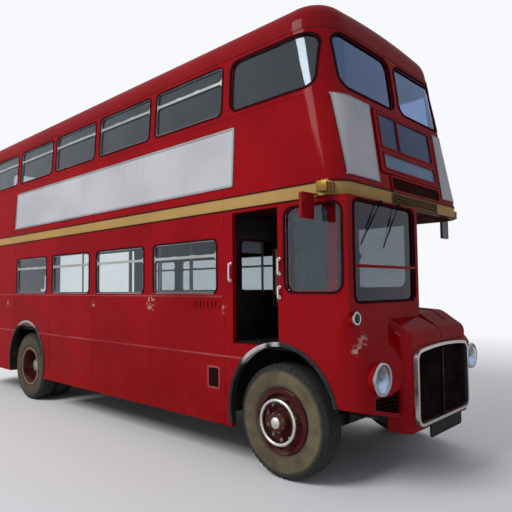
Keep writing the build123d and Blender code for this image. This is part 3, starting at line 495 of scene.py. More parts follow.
NEAR_WALL, OFF_WALL = on_wall(1), on_wall(-1)
BAY, LOWER_BAYS, UPPER_BAYS = 1.245, 4, 6
first_bay = axle_front - 1.262
lower_bays = spaced(first_bay, -BAY, LOWER_BAYS)
upper_bays = spaced(first_bay + BAY, -BAY, UPPER_BAYS)
lower_posts = spaced(first_bay + BAY / 2, -BAY, LOWER_BAYS + 1)
RAIL_Z, SILL_Z, UPPER_RAIL_Z = 1.045, 1.622, 3.405
SKIRT_RUN, WAIST_RUN, HEAD_RUN = (0.40, RAIL_Z - 0.018), (RAIL_Z + 0.02, SILL_Z - 0.015), (2.225, 2.445)
UPPER_RUNS = ((3.285, 3.40), (2.61, 2.695))
LOWER_POST, UPPER_POST = (0.026, 0.004), (0.024, 0.004)
STUD_PITCH, ARCH_HALF, BOX_HALF = 0.065, 0.44, 0.7
bulkhead_x = axle_front - 0.645
FLAKES = ((first_bay - 0.46 * BAY, 1.54, 0.11), (first_bay - 1.48 * BAY, 1.52, 0.06),
          (bulkhead_x + 0.03, 1.50, 0.06), (lower_bays[3] - 0.7 * BAY, 1.50, 0.07))
for material in (RED_SIDES, RED):
    flaked(material, [((x, -half_width, z), radius) for x, z, radius in FLAKES])
beads, rails, studs = (bmesh.new() for _ in range(3))
for wall, tail, fore in ((NEAR_WALL, platform_front, bulkhead_x),
                         (OFF_WALL, deck_tail + REAR_CORNER, axle_front - 0.375)):
    for u0, u1 in ((tail, axle_rear - ARCH_HALF), (axle_rear + ARCH_HALF, fore)):
        bead_on(rails, wall, u0, u1, RAIL_Z, tall=0.024, proud=0.010)
    bead_on(rails, wall, tail, bulkhead_x, SILL_Z, tall=0.018, proud=0.007)
    bead_on(beads, wall, deck_tail + 0.36, deck_front - 0.22, UPPER_RAIL_Z, tall=0.02, proud=0.006,
            pieces=40)
    for u in (post for post in lower_posts if post > tail + 0.05):
        post_on(beads, wall, u, *WAIST_RUN, *LOWER_POST)
        post_on(beads, wall, u, *HEAD_RUN, *LOWER_POST)
        rivets_on(studs, wall, [(u, z) for z in spaced(RAIL_Z + 0.06, STUD_PITCH, 8)])
        if abs(u - axle_rear) > BOX_HALF:
            post_on(beads, wall, u, *SKIRT_RUN, *LOWER_POST)
            rivets_on(studs, wall, [(u, z) for z in spaced(0.44, STUD_PITCH, 9)])
    for u in upper_bays[1:]:
        for run in UPPER_RUNS:
            post_on(beads, wall, u + BAY / 2, *run, *UPPER_POST)
fit(beads, "panel_beads", RED)
fit(rails, "rail_beads", BEAD_HIGHLIGHT)
fit(studs, "panel_rivets", RED)

# Wheel arch lips: a rolled rubber-covered flange round each opening, black and scuffed, pressed
# over the panel edge, with a painted highlight along the top of the rear lips.
ARCH_Z, ARCH_R, ARCH_SHIFT = 0.59, 0.615, 0.06
ARCH_SECTION = ((ARCH_R - 0.018, -0.05), (ARCH_R - 0.018, 0.006), (ARCH_R - 0.006, 0.014),
                (ARCH_R + 0.012, 0.014), (ARCH_R + 0.020, 0.005), (ARCH_R + 0.020, -0.002),
                (ARCH_R, -0.002), (ARCH_R, -0.05))
ARCHES = ((axle_front + ARCH_SHIFT, -1, 13.5, 196.0), (axle_front + ARCH_SHIFT, 1, 13.5, 158.0),
          (axle_rear, -1, -16.0, 196.0), (axle_rear, 1, -16.0, 196.0))
LIP_BLACK, tree, bsdf = shader("arch_black", 0.0, 0.45, 0.0, 0.2)
along = axes(tree)
scuff = times(tree, ramp(tree, along["X"], axle_front - 0.40, axle_front - 0.32),
              ramp(tree, along["X"], axle_front + 0.04, axle_front + 0.10, 1.0, 0.0))
scuff = times(tree, scuff, mottle(tree, 6.0, 4.0, 0.30, 0.45))
# Painted highlight: the top of the rear lips is lightened to pale grey.
crown = times(tree, ramp(tree, along["Z"], 1.11, 1.17), ramp(tree, along["X"], 0.0, 0.5, 0.8, 0.0))
base = blend(tree, mottle(tree, 12.0, 4.0, 0.3, 0.7), (0.010, 0.010, 0.011), (0.020, 0.019, 0.018))
base = blend(tree, scuff, base, (0.50, 0.47, 0.45))
base = blend(tree, crown, base, (0.42, 0.36, 0.34))
surface(tree, bsdf, base, mottle(tree, 25.0, 4.0, 0.2, 0.8, 0.35, 0.65))
bump(tree, bsdf, noise(tree, 60.0, 3.0), 0.2, 0.003)
lips = bmesh.new()
for x, hand, start, end in ARCHES:
    across = Vector((math.cos(math.radians(start)), 0, math.sin(math.radians(start))))
    centre = Vector((x, hand * half_width, ARCH_Z))
    rim = [lips.verts.new(centre + across * r + Vector((0, hand * w, 0))) for r, w in ARCH_SECTION]
    face = lips.faces.new(rim)
    bmesh.ops.spin(lips, geom=rim + list(face.edges) + [face], cent=centre, axis=(0, -1, 0),
                   angle=math.radians(end - start), steps=44)
fit(lips, "wheel_arch_lips", LIP_BLACK)

# Filler recess and vent plate on the offside: a square pressed pocket with a flap and its finger
# pull, and a narrow louvred plate below the first window, both let into the skin; flap, pull and
# louvres are painted near black as the shade in the recesses.
# Recess shade: near black painted into the filler pocket, louvres, grille backs and wing vents as their
# shade.
RECESS_SHADE = painted("recess_shade", (0.02, 0.006, 0.006), (0.012, 0.004, 0.004), rough=0.6, coat=0.0)
FILLER, PULL = (axle_front - 0.78, 0.83), (axle_front - 0.78, 0.775)
VENT_PLATE = (axle_front - 0.895, 1.545)
LONG_EDGE, EDGE_CUTS = 0.15, 8


def panel_sheet(wide, tall, radius):
    sheet = grid(wide, tall)
    if radius:
        bmesh.ops.bevel(sheet, geom=sheet.verts[:], offset=radius, affect="VERTICES", segments=6,
                        profile=0.5, material=-1)
    runs = [e for e in sheet.edges if e.calc_length() > LONG_EDGE]
    bmesh.ops.subdivide_edges(sheet, edges=runs, cuts=EDGE_CUTS)
    return sheet


def rim_on(bm, place, u, v, wide, tall, radius, lip=0.016, reach=0.006, proud=0.008, back=-0.006):
    sheet = panel_sheet(wide + 2 * lip, tall + 2 * lip, radius + lip)
    ring = bmesh.ops.inset_region(sheet, faces=sheet.faces[:], thickness=lip + reach, use_boundary=True,
                                  use_even_offset=True)["faces"]
    kept = set(ring)
    bmesh.ops.delete(sheet, geom=[f for f in sheet.faces if f not in kept], context="FACES")
    lay_on(bm, sheet, place, u, v, back, lambda co: proud)


def plate_on(bm, place, u, v, wide, tall, radius, proud, back=-0.003):
    lay_on(bm, panel_sheet(wide, tall, radius), place, u, v, back, lambda co: proud)


pocket, edge, flap = (bmesh.new() for _ in range(3))
rim_on(pocket, OFF_WALL, *FILLER, 0.15, 0.19, 0.014, lip=0.018, reach=0.004, proud=0.007)
rim_on(edge, OFF_WALL, *VENT_PLATE, 0.40, 0.07, 0.008, lip=0.008, reach=0.003, proud=0.005)
plate_on(flap, OFF_WALL, *FILLER, 0.146, 0.186, 0.012, 0.0015)
plate_on(flap, OFF_WALL, *PULL, 0.03, 0.012, 0.003, 0.010)
for u in spaced(axle_front - 1.04, 0.058, 6):
    plate_on(flap, OFF_WALL, u, VENT_PLATE[1], 0.012, 0.055, 0.003, 0.0035)
# The filler pocket rim takes the pale bead paint, a painted highlight.
fit(pocket, "filler_frame", BEAD_HIGHLIGHT)
fit(edge, "vent_plate_edge", RED)
fit(flap, "filler_flap", RECESS_SHADE)

# Cream band between the decks: a painted pressing with dark lining beads at its edges and joint
# strips at the bays.
# Downward faces of the band are painted dark maroon as the shade beneath it.
CREAM = painted("cream_band", (0.44, 0.275, 0.095), (0.37, 0.23, 0.075), dust=0.1,
                lining=((0.0, 0.0, 0.0), (0.0, 0.0, 1.0), (0.06, 0.004, 0.005)))
LINING = painted("lining_bead", (0.045, 0.006, 0.006), (0.03, 0.004, 0.004), rough=0.4)
dress(CREAM, "between_decks_band")
LINING_EDGE, STRIP_EDGE, STRIP = 0.006, 0.014, (0.02, 0.004)


def on_front(u, v, w):
    half, front, _, fore, _ = deck_plan(v)
    return Vector((front - corner_drop(abs(u) - half + fore, fore) + w, u, v))


def hoop(bm, z, tall, proud):
    half, front, tail, fore, aft = deck_plan(z)
    middle = (front + tail) / 2
    ring = grid(front - tail, 2 * half)
    bmesh.ops.translate(ring, vec=(middle, 0.0, z - tall / 2), verts=ring.verts)
    for radius, way in ((fore, 1), (aft, -1)):
        ends = [v for v in ring.verts if way * (v.co.x - middle) > 0]
        bmesh.ops.bevel(ring, geom=ends, offset=radius, affect="VERTICES", segments=10, profile=0.5,
                        material=-1)
    bmesh.ops.delete(ring, geom=ring.faces[:], context="FACES_ONLY")
    wall = bmesh.ops.extrude_edge_only(ring, edges=ring.edges[:])["geom"]
    top = [g for g in wall if isinstance(g, bmesh.types.BMVert)]
    bmesh.ops.translate(ring, vec=(0, 0, tall), verts=top)
    bmesh.ops.recalc_face_normals(ring, faces=ring.faces[:])
    bmesh.ops.solidify(ring, geom=ring.faces[:], thickness=-proud)
    pour(bm, ring)


lining, joints = bmesh.new(), bmesh.new()
for z in (band_low.z + LINING_EDGE, band_high.z - LINING_EDGE):
    hoop(lining, z, 0.013, 0.006)
strip_places = [(wall, u - BAY / 2) for wall in (NEAR_WALL, OFF_WALL) for u in upper_bays]
for wall, u in strip_places + [(on_front, -0.62), (on_front, 0.78)]:
    post_on(joints, wall, u, band_low.z + STRIP_EDGE, band_high.z - STRIP_EDGE, *STRIP)
fit(lining, "band_lining_beads", LINING)
fit(joints, "band_joint_strips", CREAM)

# Roof: a domed skin of riveted aluminium sheets over hoop sticks, painted red, with cover strips
# over its joints and a drip bead round the cantrail; the lining below is dark board.
ROOF = painted("roof_red", (0.25, 0.004, 0.008), (0.19, 0.003, 0.006), rough=0.4, coat=0.15,
               lining=((0.0, 0.0, 0.4), (0.0, 0.0, -0.9), CEILING))
dress(ROOF, "roof")
ROOF_REACH, COVER_W, COVER_T = 0.98, 0.05, 0.003
ROOF_RIVETS, ROOF_RIVET_R = (-0.93, 0.062, 31), 0.005


def on_top_of(node):
    mesh = nodes[node].data
    skin = BVHTree.FromPolygons([v.co for v in mesh.vertices], [p.vertices for p in mesh.polygons])

    def place(u, v, w):
        hit = skin.ray_cast(Vector((u, v, 6.0)), Vector((0, 0, -1)))[0]
        return Vector((u, v, hit.z + w))
    return place


on_roof = on_top_of("roof")
strips, studs = bmesh.new(), bmesh.new()
for u in [x + BAY / 2 for x in upper_bays[1:]] + [upper_bays[-1] - BAY / 2 + 0.1]:
    lay_on(strips, grid(COVER_W, 2 * ROOF_REACH, (2, 40)), on_roof, u, 0.0, STRIP_BACK, lambda co: COVER_T)
    for x in (u - 0.016, u + 0.016):
        rivets_on(studs, on_roof, [(x, y) for y in spaced(*ROOF_RIVETS)], ROOF_RIVET_R)
hoop(strips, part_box("roof")[0].z, 0.016, 0.007)
fit(strips, "roof_cover_strips", ROOF)
fit(studs, "roof_rivets", ROOF)

# Window rubbers: extruded glazing rubber round every pane, painted over in dark maroon, with satin
# alloy half-drop frames behind, slim pull catches on the opening lights and sills painted pale as
# the highlight along the lower window edges.
RUBBER = painted("glazing_rubber", (0.040, 0.006, 0.009), (0.025, 0.006, 0.008), rough=0.55, coat=0.0)
ALLOY = painted("satin_alloy", (0.42, 0.42, 0.41), (0.33, 0.33, 0.32), rough=0.38, coat=0.0, dust=0.1,
                metallic=0.85)
# Sill paint: a pale pink that stands for the highlight on the lower window edges.
SILL_HIGHLIGHT = painted("sill_highlight", (0.46, 0.36, 0.35), (0.33, 0.13, 0.13), rough=0.5, coat=0.0, dust=0.2)
dress(ALLOY, "window_sashes")
cab_front_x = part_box("cab_front")[1].x
cab_inner_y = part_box("cab_nearside_wall")[1].y


def on_rear(u, v, w):
    half, _, tail, _, aft = deck_plan(v)
    return Vector((tail + corner_drop(abs(u) - half + aft, aft) - w, u, v))


def on_face_at(x):
    return lambda u, v, w: Vector((x + w, u, v))


def on_side_at(y, hand):
    return lambda u, v, w: Vector((u, y + hand * w, v))


on_cab_side = on_side_at(-half_width, -1)
on_bulkhead = on_face_at(floor_high.x + 0.045)
PANE_Z, PANE_TALL, UPPER_Z, UPPER_TALL, CAB_Z = 1.924, 0.534, 3.71, 0.51, 2.035
SILL_HALF, CATCH_SHIFT, CATCH_DROP = 0.49, 0.16, 0.147
first_upper = upper_bays[0] - 0.045
# Panes of the side bays: height of the middle, width, height and corner.
LOWER_PANE, UPPER_PANE = (PANE_Z, 1.055, PANE_TALL, 0.06), (UPPER_Z, 1.125, UPPER_TALL, 0.06)
# Single panes: face, place on it, width, height and corner, then lip, reach and rise of the rubber.
SINGLE_PANES = (
    (NEAR_WALL, first_upper, UPPER_Z, 1.035, UPPER_TALL, 0.10, 0.013, 0.006, 0.006),
    (OFF_WALL, first_upper, UPPER_Z, 1.035, UPPER_TALL, 0.10, 0.013, 0.006, 0.006),
    (on_front, -0.52, 3.712, 0.94, 0.525, 0.11, 0.013, 0.006, 0.006),
    (on_front, 0.52, 3.712, 0.94, 0.525, 0.11, 0.013, 0.006, 0.006),
    (on_rear, 0.0, 3.64, 1.30, 0.62, 0.09, 0.022, 0.006, 0.010),
    (on_rear, -0.23, PANE_Z, 0.86, PANE_TALL, 0.06, 0.014, 0.006, 0.006),
    (on_face_at(cab_front_x), -0.597, 2.003, 1.055, 0.845, 0.07, 0.014, 0.008, 0.007),
    (on_cab_side, axle_front + 0.445, CAB_Z, 0.60, 0.74, 0.09, 0.013, 0.006, 0.006),
    (on_side_at(cab_inner_y, 1), axle_front + 0.33, CAB_Z, 0.70, 0.68, 0.08, 0.012, 0.006, 0.001),
    (on_bulkhead, -0.56, PANE_Z, 0.90, PANE_TALL, 0.06),
    (on_bulkhead, 0.56, PANE_Z, 0.90, PANE_TALL, 0.06))
rubbers, catches, sills = (bmesh.new() for _ in range(3))
for wall in (NEAR_WALL, OFF_WALL):
    for bays, (z, wide, tall, radius) in ((lower_bays, LOWER_PANE), (upper_bays[1:], UPPER_PANE)):
        for u in bays:
            rim_on(rubbers, wall, u, z, wide, tall, radius, lip=0.013, reach=0.005, proud=0.006)
            for shift in (-CATCH_SHIFT, CATCH_SHIFT):
                plate_on(catches, wall, u + shift, z + tall / 2 - CATCH_DROP, 0.07, 0.014, 0.004,
                         proud=-0.001, back=-0.02)
    for u in lower_bays:
        bead_on(sills, wall, u - SILL_HALF, u + SILL_HALF, PANE_Z - PANE_TALL / 2 - 0.008,
                tall=0.011, proud=0.009, pieces=8)
for pane in SINGLE_PANES:
    rim_on(rubbers, *pane)
fit(rubbers, "window_rubbers", RUBBER)
fit(sills, "window_sills", SILL_HIGHLIGHT)
fit(catches, "window_catches", NOSING)

# Glass: flat and gently curved safety glass with a faint grey body tint and a thin film of dust
# and wiped smears; the upper front panes carry a painted blue sky reflection, the driver's screen
# a painted dark shade, and every reflection is tinted blue as painted sky.
SCREEN_SHADE, FRONT_SKY_REFLECTION = (0.20, 0.21, 0.23), (0.22, 0.34, 0.60)
GLASS, tree, bsdf = shader("safety_glass", 0.0, 0.03, 0.0, 0.85)
place = axes(tree)
screen = times(tree, ramp(tree, place["X"], cab_front_x - 0.08, cab_front_x - 0.06),
               ramp(tree, place["Z"], 2.46, 2.45))
ahead = times(tree, ramp(tree, place["X"], deck_front - 0.32, deck_front - 0.24),
              ramp(tree, place["Z"], 3.3, 3.4))
tint = blend(tree, mottle(tree, 0.8, 3.0, 0.3, 0.7), (0.67, 0.71, 0.73), (0.59, 0.64, 0.67))
tint = blend(tree, screen, tint, SCREEN_SHADE)
tint = blend(tree, ahead, tint, FRONT_SKY_REFLECTION)
surface(tree, bsdf, tint, mottle(tree, 3.0, 4.0, 0.35, 0.8, 0.0, 0.05, stretch=(1.0, 1.0, 0.3)))
# A little metallic on the upper front panes strengthens their painted sky reflection.
tree.links.new(ramp(tree, ahead, 0.0, 1.0, 0.04, 0.13), bsdf.inputs["Metallic"])
bsdf.inputs["Transmission Weight"].default_value = 1.0
bsdf.inputs["IOR"].default_value = 1.22
# Blue specular tint: painted sky colour in the reflections of every pane.
bsdf.inputs["Specular Tint"].default_value = (0.40, 0.60, 1.0, 1.0)
dress(GLASS, "window_glass", "cab_door_glass")

# Front display: a pressed frame round three blind apertures with plain roller blinds behind glass,
# their blue a painted sky reflection from the glass and the lower blind paler, a vent grille below
# it and an intake grille let into the band.
# Blind colours: dark and pale cloth with a painted blue sky reflection.
BLIND_SKY = painted("blind_sky_reflection", (0.030, 0.065, 0.160), (0.022, 0.048, 0.115), rough=0.2, coat=0.3, dust=0.0,
                wave=0.1)
PALE_BLIND_SKY = painted("pale_blind_sky_reflection", (0.15, 0.24, 0.38), (0.11, 0.18, 0.30), rough=0.2, coat=0.3, dust=0.0,
                     wave=0.1)
VENT_MAROON = painted("vent_maroon", (0.07, 0.008, 0.010), (0.05, 0.006, 0.007))
INTAKE_CREAM = painted("intake_cream", (0.20, 0.13, 0.05), (0.14, 0.09, 0.035))
dress(RED, "destination_box")
UPPER_APERTURES = ((-0.285, 3.172, 0.34, 0.33), (0.255, 3.172, 0.72, 0.33))
LOWER_APERTURE = (0.09, 2.872, 1.07, 0.15)
VENT, INTAKE = (0.16, 2.667), (0.115, band_low.z + 0.069)
# Bars of both grilles: the first one, the pitch and the count.
VENT_ROWS, VENT_COLUMNS = (2.616, 0.0205, 6), (-0.32, 0.0686, 15)
INTAKE_ROWS, INTAKE_COLUMNS = (band_low.z + 0.035, 0.0235, 4), (-0.355, 0.0392, 25)
frames, blinds, pale, grilles, louvres, bars = (bmesh.new() for _ in range(6))
for y, z, wide, tall in UPPER_APERTURES + (LOWER_APERTURE,):
    rim_on(frames, on_front, y, z, wide, tall, 0.015, lip=0.012, reach=0.006, proud=0.020, back=0.002)
    blind = pale if z == LOWER_APERTURE[1] else blinds
    plate_on(blind, on_front, y, z, wide - 0.006, tall - 0.006, 0.012, 0.006)
rim_on(frames, on_front, 0.09, 3.065, 1.20, 0.58, 0.025, lip=0.022, reach=0.0, proud=0.019, back=0.002)
rim_on(frames, on_front, *VENT, 1.02, 0.125, 0.012, lip=0.016, reach=0.004, proud=0.012)
plate_on(grilles, on_front, *VENT, 1.012, 0.117, 0.01, 0.002)
plate_on(grilles, on_front, *INTAKE, 0.96, 0.098, 0.006, 0.003)
for z in spaced(*VENT_ROWS):
    bead_on(louvres, on_front, -0.33, 0.65, z, tall=0.009, proud=0.008, pieces=12)
for y in spaced(*VENT_COLUMNS):
    post_on(louvres, on_front, y, 2.612, 2.722, wide=0.006, proud=0.006)
for z in spaced(*INTAKE_ROWS):
    bead_on(bars, on_front, -0.36, 0.59, z, tall=0.010, proud=0.009, pieces=12)
rim_on(bars, on_front, *INTAKE, 0.96, 0.098, 0.006, lip=0.008, reach=0.003, proud=0.008)
for y in spaced(*INTAKE_COLUMNS):
    post_on(bars, on_front, y, band_low.z + 0.022, band_low.z + 0.116, wide=0.005, proud=0.006)
fit(frames, "display_frames", RED)
fit(blinds, "display_blinds", BLIND_SKY)
fit(pale, "lower_display_blind", PALE_BLIND_SKY)
# Grille backs: dark sheets behind the bars, painted as the shade in the openings.
fit(grilles, "grille_backs", RECESS_SHADE)
fit(louvres, "vent_grille_bars", VENT_MAROON)
fit(bars, "intake_grille", INTAKE_CREAM)

# Plain panels on the upper deck: pale sheets in slim alloy frames screwed to the skin, left bare
# and weathered in soft vertical streaks.
PALE = painted("pale_sheet", (0.50, 0.50, 0.51), (0.41, 0.41, 0.43), rough=0.45, wave=0.1)
PANEL_EDGE = painted("panel_edge", (0.33, 0.33, 0.34), (0.24, 0.24, 0.25), rough=0.5, coat=0.0,
                     metallic=0.3)
dress(PALE, "side_panels")
frames = bmesh.new()
for wall in (NEAR_WALL, OFF_WALL):
    rim_on(frames, wall, axle_front - 3.06, 2.985, 5.10, 0.57, 0.01,
           lip=0.012, reach=0.010, proud=0.011, back=0.0)
for y0, y1 in ((-1.086, -0.581), (0.761, 1.096)):
    rim_on(frames, on_front, (y0 + y1) / 2, 3.0115, y1 - y0, 0.721, 0.004,
           lip=0.006, reach=0.004, proud=0.009, back=0.0)
fit(frames, "panel_frames", PANEL_EDGE)

# Cab: panelled alcove for the driver, with a two-piece screen split by a red bar, wiper arms,
# bright grab handles beside the doorway and a sliding door on a floor runner.
# Cab inside: faces turned into the cab are painted near black as the shade inside it.
CAB_SHADE = (0.022, 0.016, 0.015)
CAB_SIDE_RED = red_lined("cab_side_paint", (0.0, 0.8, 0.0), (0.0, 0.0, 0.0), CAB_SHADE)
CAB_FRONT_RED = red_lined("cab_front_paint", (0.0, 0.0, 0.0), (1.0, 0.0, 0.0), CAB_SHADE)
CAB_INNER_RED = red_lined("cab_inner_paint", (0.0, 0.0, 0.0), (0.0, 1.0, 0.0), CAB_SHADE)
# Canopy soffit: a dark maroon sheet under the overhang, painted as its shade.
SOFFIT_SHADE = painted("soffit_shade", (0.05, 0.006, 0.007), (0.035, 0.005, 0.005), rough=0.8, coat=0.0, dust=0.0,
                 specular=0.02)
BULKHEAD, tree, bsdf = shader("bulkhead_paint", 0.0, 0.45, 0.05, 0.2)
# The cab side of the bulkhead is painted near black as shade.
base = blend(tree, ramp(tree, axes(tree)["Y"], 0.03, 0.06), CAB_SHADE, RED_COLOUR)
base = blend(tree, times(tree, mottle(tree, 4.0, 5.0, 0.4, 0.8), 0.3), base, (0.03, 0.02, 0.018))
surface(tree, bsdf, base, mottle(tree, 9.0, 4.0, 0.2, 0.8, 0.35, 0.6))
bump(tree, bsdf, noise(tree, 2.0, 2.0), 0.15, 0.02)
dress(CAB_SIDE_RED, "cab_offside_wall", "cab_door")
dress(CAB_FRONT_RED, "cab_front")
dress(CAB_INNER_RED, "cab_nearside_wall")
dress(BULKHEAD, "front_bulkhead")
soffit, divider, pillar, wipers, handles, latch = (bmesh.new() for _ in range(6))
soffit_tail, soffit_nose, soffit_z = bulkhead_x + 0.06, deck_front - 0.05, band_low.z - 0.0005
plate_on(soffit, lambda u, v, w: Vector((u, v, soffit_z - w)), (soffit_tail + soffit_nose) / 2, 0.0,
         soffit_nose - soffit_tail, 2 * half_width - 0.1, 0.15, 0.004, back=0.0)
bar(divider, (cab_front_x - 0.042, -1.125, 1.868), (cab_front_x + 0.010, -0.07, 1.892), 0.005)
for x, foot, count in ((axle_front - 0.56, 1.46, 15), (axle_front - 0.60, 0.47, 9)):
    rivets_on(pillar, on_cab_side, [(x, z) for z in spaced(foot, 0.062, count)])
for y, lean in ((-0.70, -0.20), (-0.38, -0.16)):
    pivot = Vector((cab_front_x + 0.010, y, 2.442))
    tip = pivot + Vector((-0.012, lean, -0.26))
    blade = tip + Vector((-0.006, 0, 0))
    half_blade = (tip - pivot).normalized() * 0.16
    rod(wipers, pivot - Vector((0.02, 0, 0)), pivot + Vector((0.012, 0, 0)), 0.013, 12)
    rod(wipers, pivot, tip, 0.004, 8)
    rod(wipers, blade - half_blade, blade + half_blade, 0.005, 8)
HANDLES = ((axle_front - 0.535, 1.78, 1.94), (axle_front + 0.088, 1.62, 1.71),
           (axle_front + 0.088, 1.83, 1.96))
grip_y, foot_y, skin_y = -half_width - 0.028, -half_width - 0.006, -half_width + 0.002
for x, z0, z1 in HANDLES:
    rod(handles, (x, grip_y, z0), (x, grip_y, z1), 0.009, 12)
    for z in (z0, z1):
        rod(handles, (x, grip_y, z), (x, skin_y, z), 0.009, 10)
        rod(handles, (x, foot_y, z), (x, skin_y, z), 0.016, 14)
door_low, door_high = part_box("cab_door")
latch_x, latch_y, latch_z = door_low.x + 0.04, door_high.y + 0.05, 1.66
bar(latch, (latch_x - 0.02, door_high.y, 1.58), (latch_x + 0.02, door_high.y + 0.018, 1.70), 0.004)
rod(latch, (latch_x, door_high.y, latch_z), (latch_x, latch_y, latch_z), 0.008, 10)
rod(latch, (latch_x, latch_y, latch_z), (latch_x + 0.10, latch_y, latch_z), 0.009, 10)
fit(soffit, "canopy_soffit", SOFFIT_SHADE)
fit(divider, "screen_divider", RED)
fit(pillar, "cab_pillar_rivets", RED)
fit(wipers, "wipers", BLACK)
fit(handles, "cab_grab_handles", BRIGHT)
fit(latch, "cab_door_latch", BRIGHT, "cab_door")

# Nose: beaten steel wings and radiator cowl in red, with a bright grille surround, slats and mesh
# behind them painted near-black maroon as the shade inside the grille, and vent panels below the
# lamps painted dark as their shade.
NOSE_RED = red_lined("nose_paint", (1.0, 0.8, 0.6), (-axle_front, 0.0, -0.4), (0.012, 0.011, 0.011))
flaked(NOSE_RED, (((axle_front + 0.80, -1.06, 1.275), 0.08), ((axle_front + 0.81, -1.13, 1.20), 0.06)))
# Grille slats and mesh: dark maroon darkened to near black as painted shade.
GRILLE_SHADE = painted("grille_maroon_shade", (0.009, 0.002, 0.003), (0.006, 0.0015, 0.002), rough=0.6, coat=0.0,
                dust=0.0, specular=0.05)
SURROUND = painted("grille_chrome", (0.46, 0.44, 0.42), (0.34, 0.32, 0.30), rough=0.22, coat=0.0, dust=0.1,
                   metallic=0.9)
dress(NOSE_RED, "front_wing_offside", "front_wing_nearside", "front_panel", "bonnet")
dress(GRILLE_SHADE, "radiator_grille")
dress(SURROUND, "grille_surround")
cowl_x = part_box("front_panel")[1].x
NOSE_X, NOSE_FLAT, NOSE_SWEEP = axle_front + 0.955, 0.55, 0.11
WING_VENT = ((0.992, 0.712), (0.992, 0.815), (0.792, 0.815), (0.655, 0.860), (0.655, 0.632))
VENT_BAR_IN, VENT_BARS = 0.668, ((0.672, 0.78), (0.704, 0.90), (0.736, 0.97), (0.768, 0.97), (0.800, 0.97))
VENT_BACK, VENT_FACE, VENT_BAR_FACE = -0.042, -0.036, -0.024
WIRES, WIRES_HALF, WIRE_R, WIRE_LOW, WIRE_TOP = 54, 0.51, 0.003, 0.55, 1.15


def on_nose(u, v, w):
    sweep = NOSE_SWEEP * (abs(u) - NOSE_FLAT) / (half_width - NOSE_FLAT)
    return Vector((NOSE_X - sweep + w, u, v))


vents, vent_bars, mesh_back = (bmesh.new() for _ in range(3))
for hand in (-1, 1):
    back = bmesh.new()
    back.faces.new([back.verts.new((hand * y, z, 0.0)) for y, z in WING_VENT])
    lay_on(vents, back, on_nose, 0.0, 0.0, VENT_BACK, lambda co: VENT_FACE)
    for z, y in VENT_BARS:
        bead_on(vent_bars, on_nose, *sorted((hand * VENT_BAR_IN, hand * y)), z, tall=0.012,
                proud=VENT_BAR_FACE, pieces=8)
for y in spaced(-WIRES_HALF, 2 * WIRES_HALF / (WIRES - 1), WIRES):
    rod(mesh_back, (cowl_x + 0.0075, y, WIRE_LOW), (cowl_x + 0.0075, y, WIRE_TOP), WIRE_R, 6)
bar(mesh_back, (cowl_x + 0.010, -0.020, WIRE_LOW - 0.004), (cowl_x + 0.020, 0.020, WIRE_TOP + 0.004), 0.003)
# Wing vent backs and bars are painted near black as the shade in the vents.
fit(vents, "wing_vent_backs", RECESS_SHADE)
fit(vent_bars, "wing_vent_bars", RECESS_SHADE)
fit(mesh_back, "grille_mesh", GRILLE_SHADE)

# Blank plate under the grille: a black enamelled steel plate with a raised rim, left plain and
# carried by two flat brackets on the cowl.
PLATE = painted("plate_black", (0.010, 0.010, 0.011), (0.016, 0.016, 0.017), rough=0.3, coat=0.2, dust=0.04)
PLATE_Z = 0.450
on_plate = on_face_at(cowl_x + 0.032)
plate = bmesh.new()
plate_on(plate, on_plate, 0.0, PLATE_Z, 0.66, 0.118, 0.02, 0.006, -0.004)
rim_on(plate, on_plate, 0.0, PLATE_Z, 0.648, 0.106, 0.018, lip=0.006, reach=0.0, proud=0.009)
for y in (-0.15, 0.15):
    bar(plate, (cowl_x - 0.02, y - 0.02, 0.47), (cowl_x + 0.034, y + 0.02, 0.50), 0.003)
fit(plate, "front_plate_blank", PLATE)

# Lamps: chromed brass bowls with fluted glass in front, a small side lamp on the cab and the wing,
# and red tail lamps, each held by a bright rim and one screw.
RED_LENS = painted("red_lens", (0.42, 0.01, 0.01), (0.33, 0.006, 0.006), rough=0.15, coat=0.5, dust=0.1)
DARK_LENS = painted("side_lamp_glass", (0.020, 0.022, 0.028), (0.05, 0.055, 0.06), rough=0.15, coat=0.4,
                    dust=0.0)
CHROME = painted("lamp_chrome", (0.40, 0.40, 0.42), (0.27, 0.27, 0.29), rough=0.15, coat=0.0, dust=0.1,
                 metallic=1.0)
LENS, tree, bsdf = shader("lamp_glass", 0.0, 0.02, 0.0, 0.5)
tint = blend(tree, mottle(tree, 9.0, 3.0, 0.3, 0.7), (0.93, 0.95, 0.97), (0.80, 0.85, 0.90))
surface(tree, bsdf, tint, mottle(tree, 30.0, 3.0, 0.3, 0.8, 0.0, 0.08))
bump(tree, bsdf, noise(tree, 90.0, 1.0, (1.0, 1.0, 0.1)), 0.3, 0.003)
bsdf.inputs["Transmission Weight"].default_value = 1.0
bsdf.inputs["IOR"].default_value = 1.25
REFLECTOR, tree, bsdf = shader("lamp_reflector", 0.9, 0.12, 0.0, 0.3)
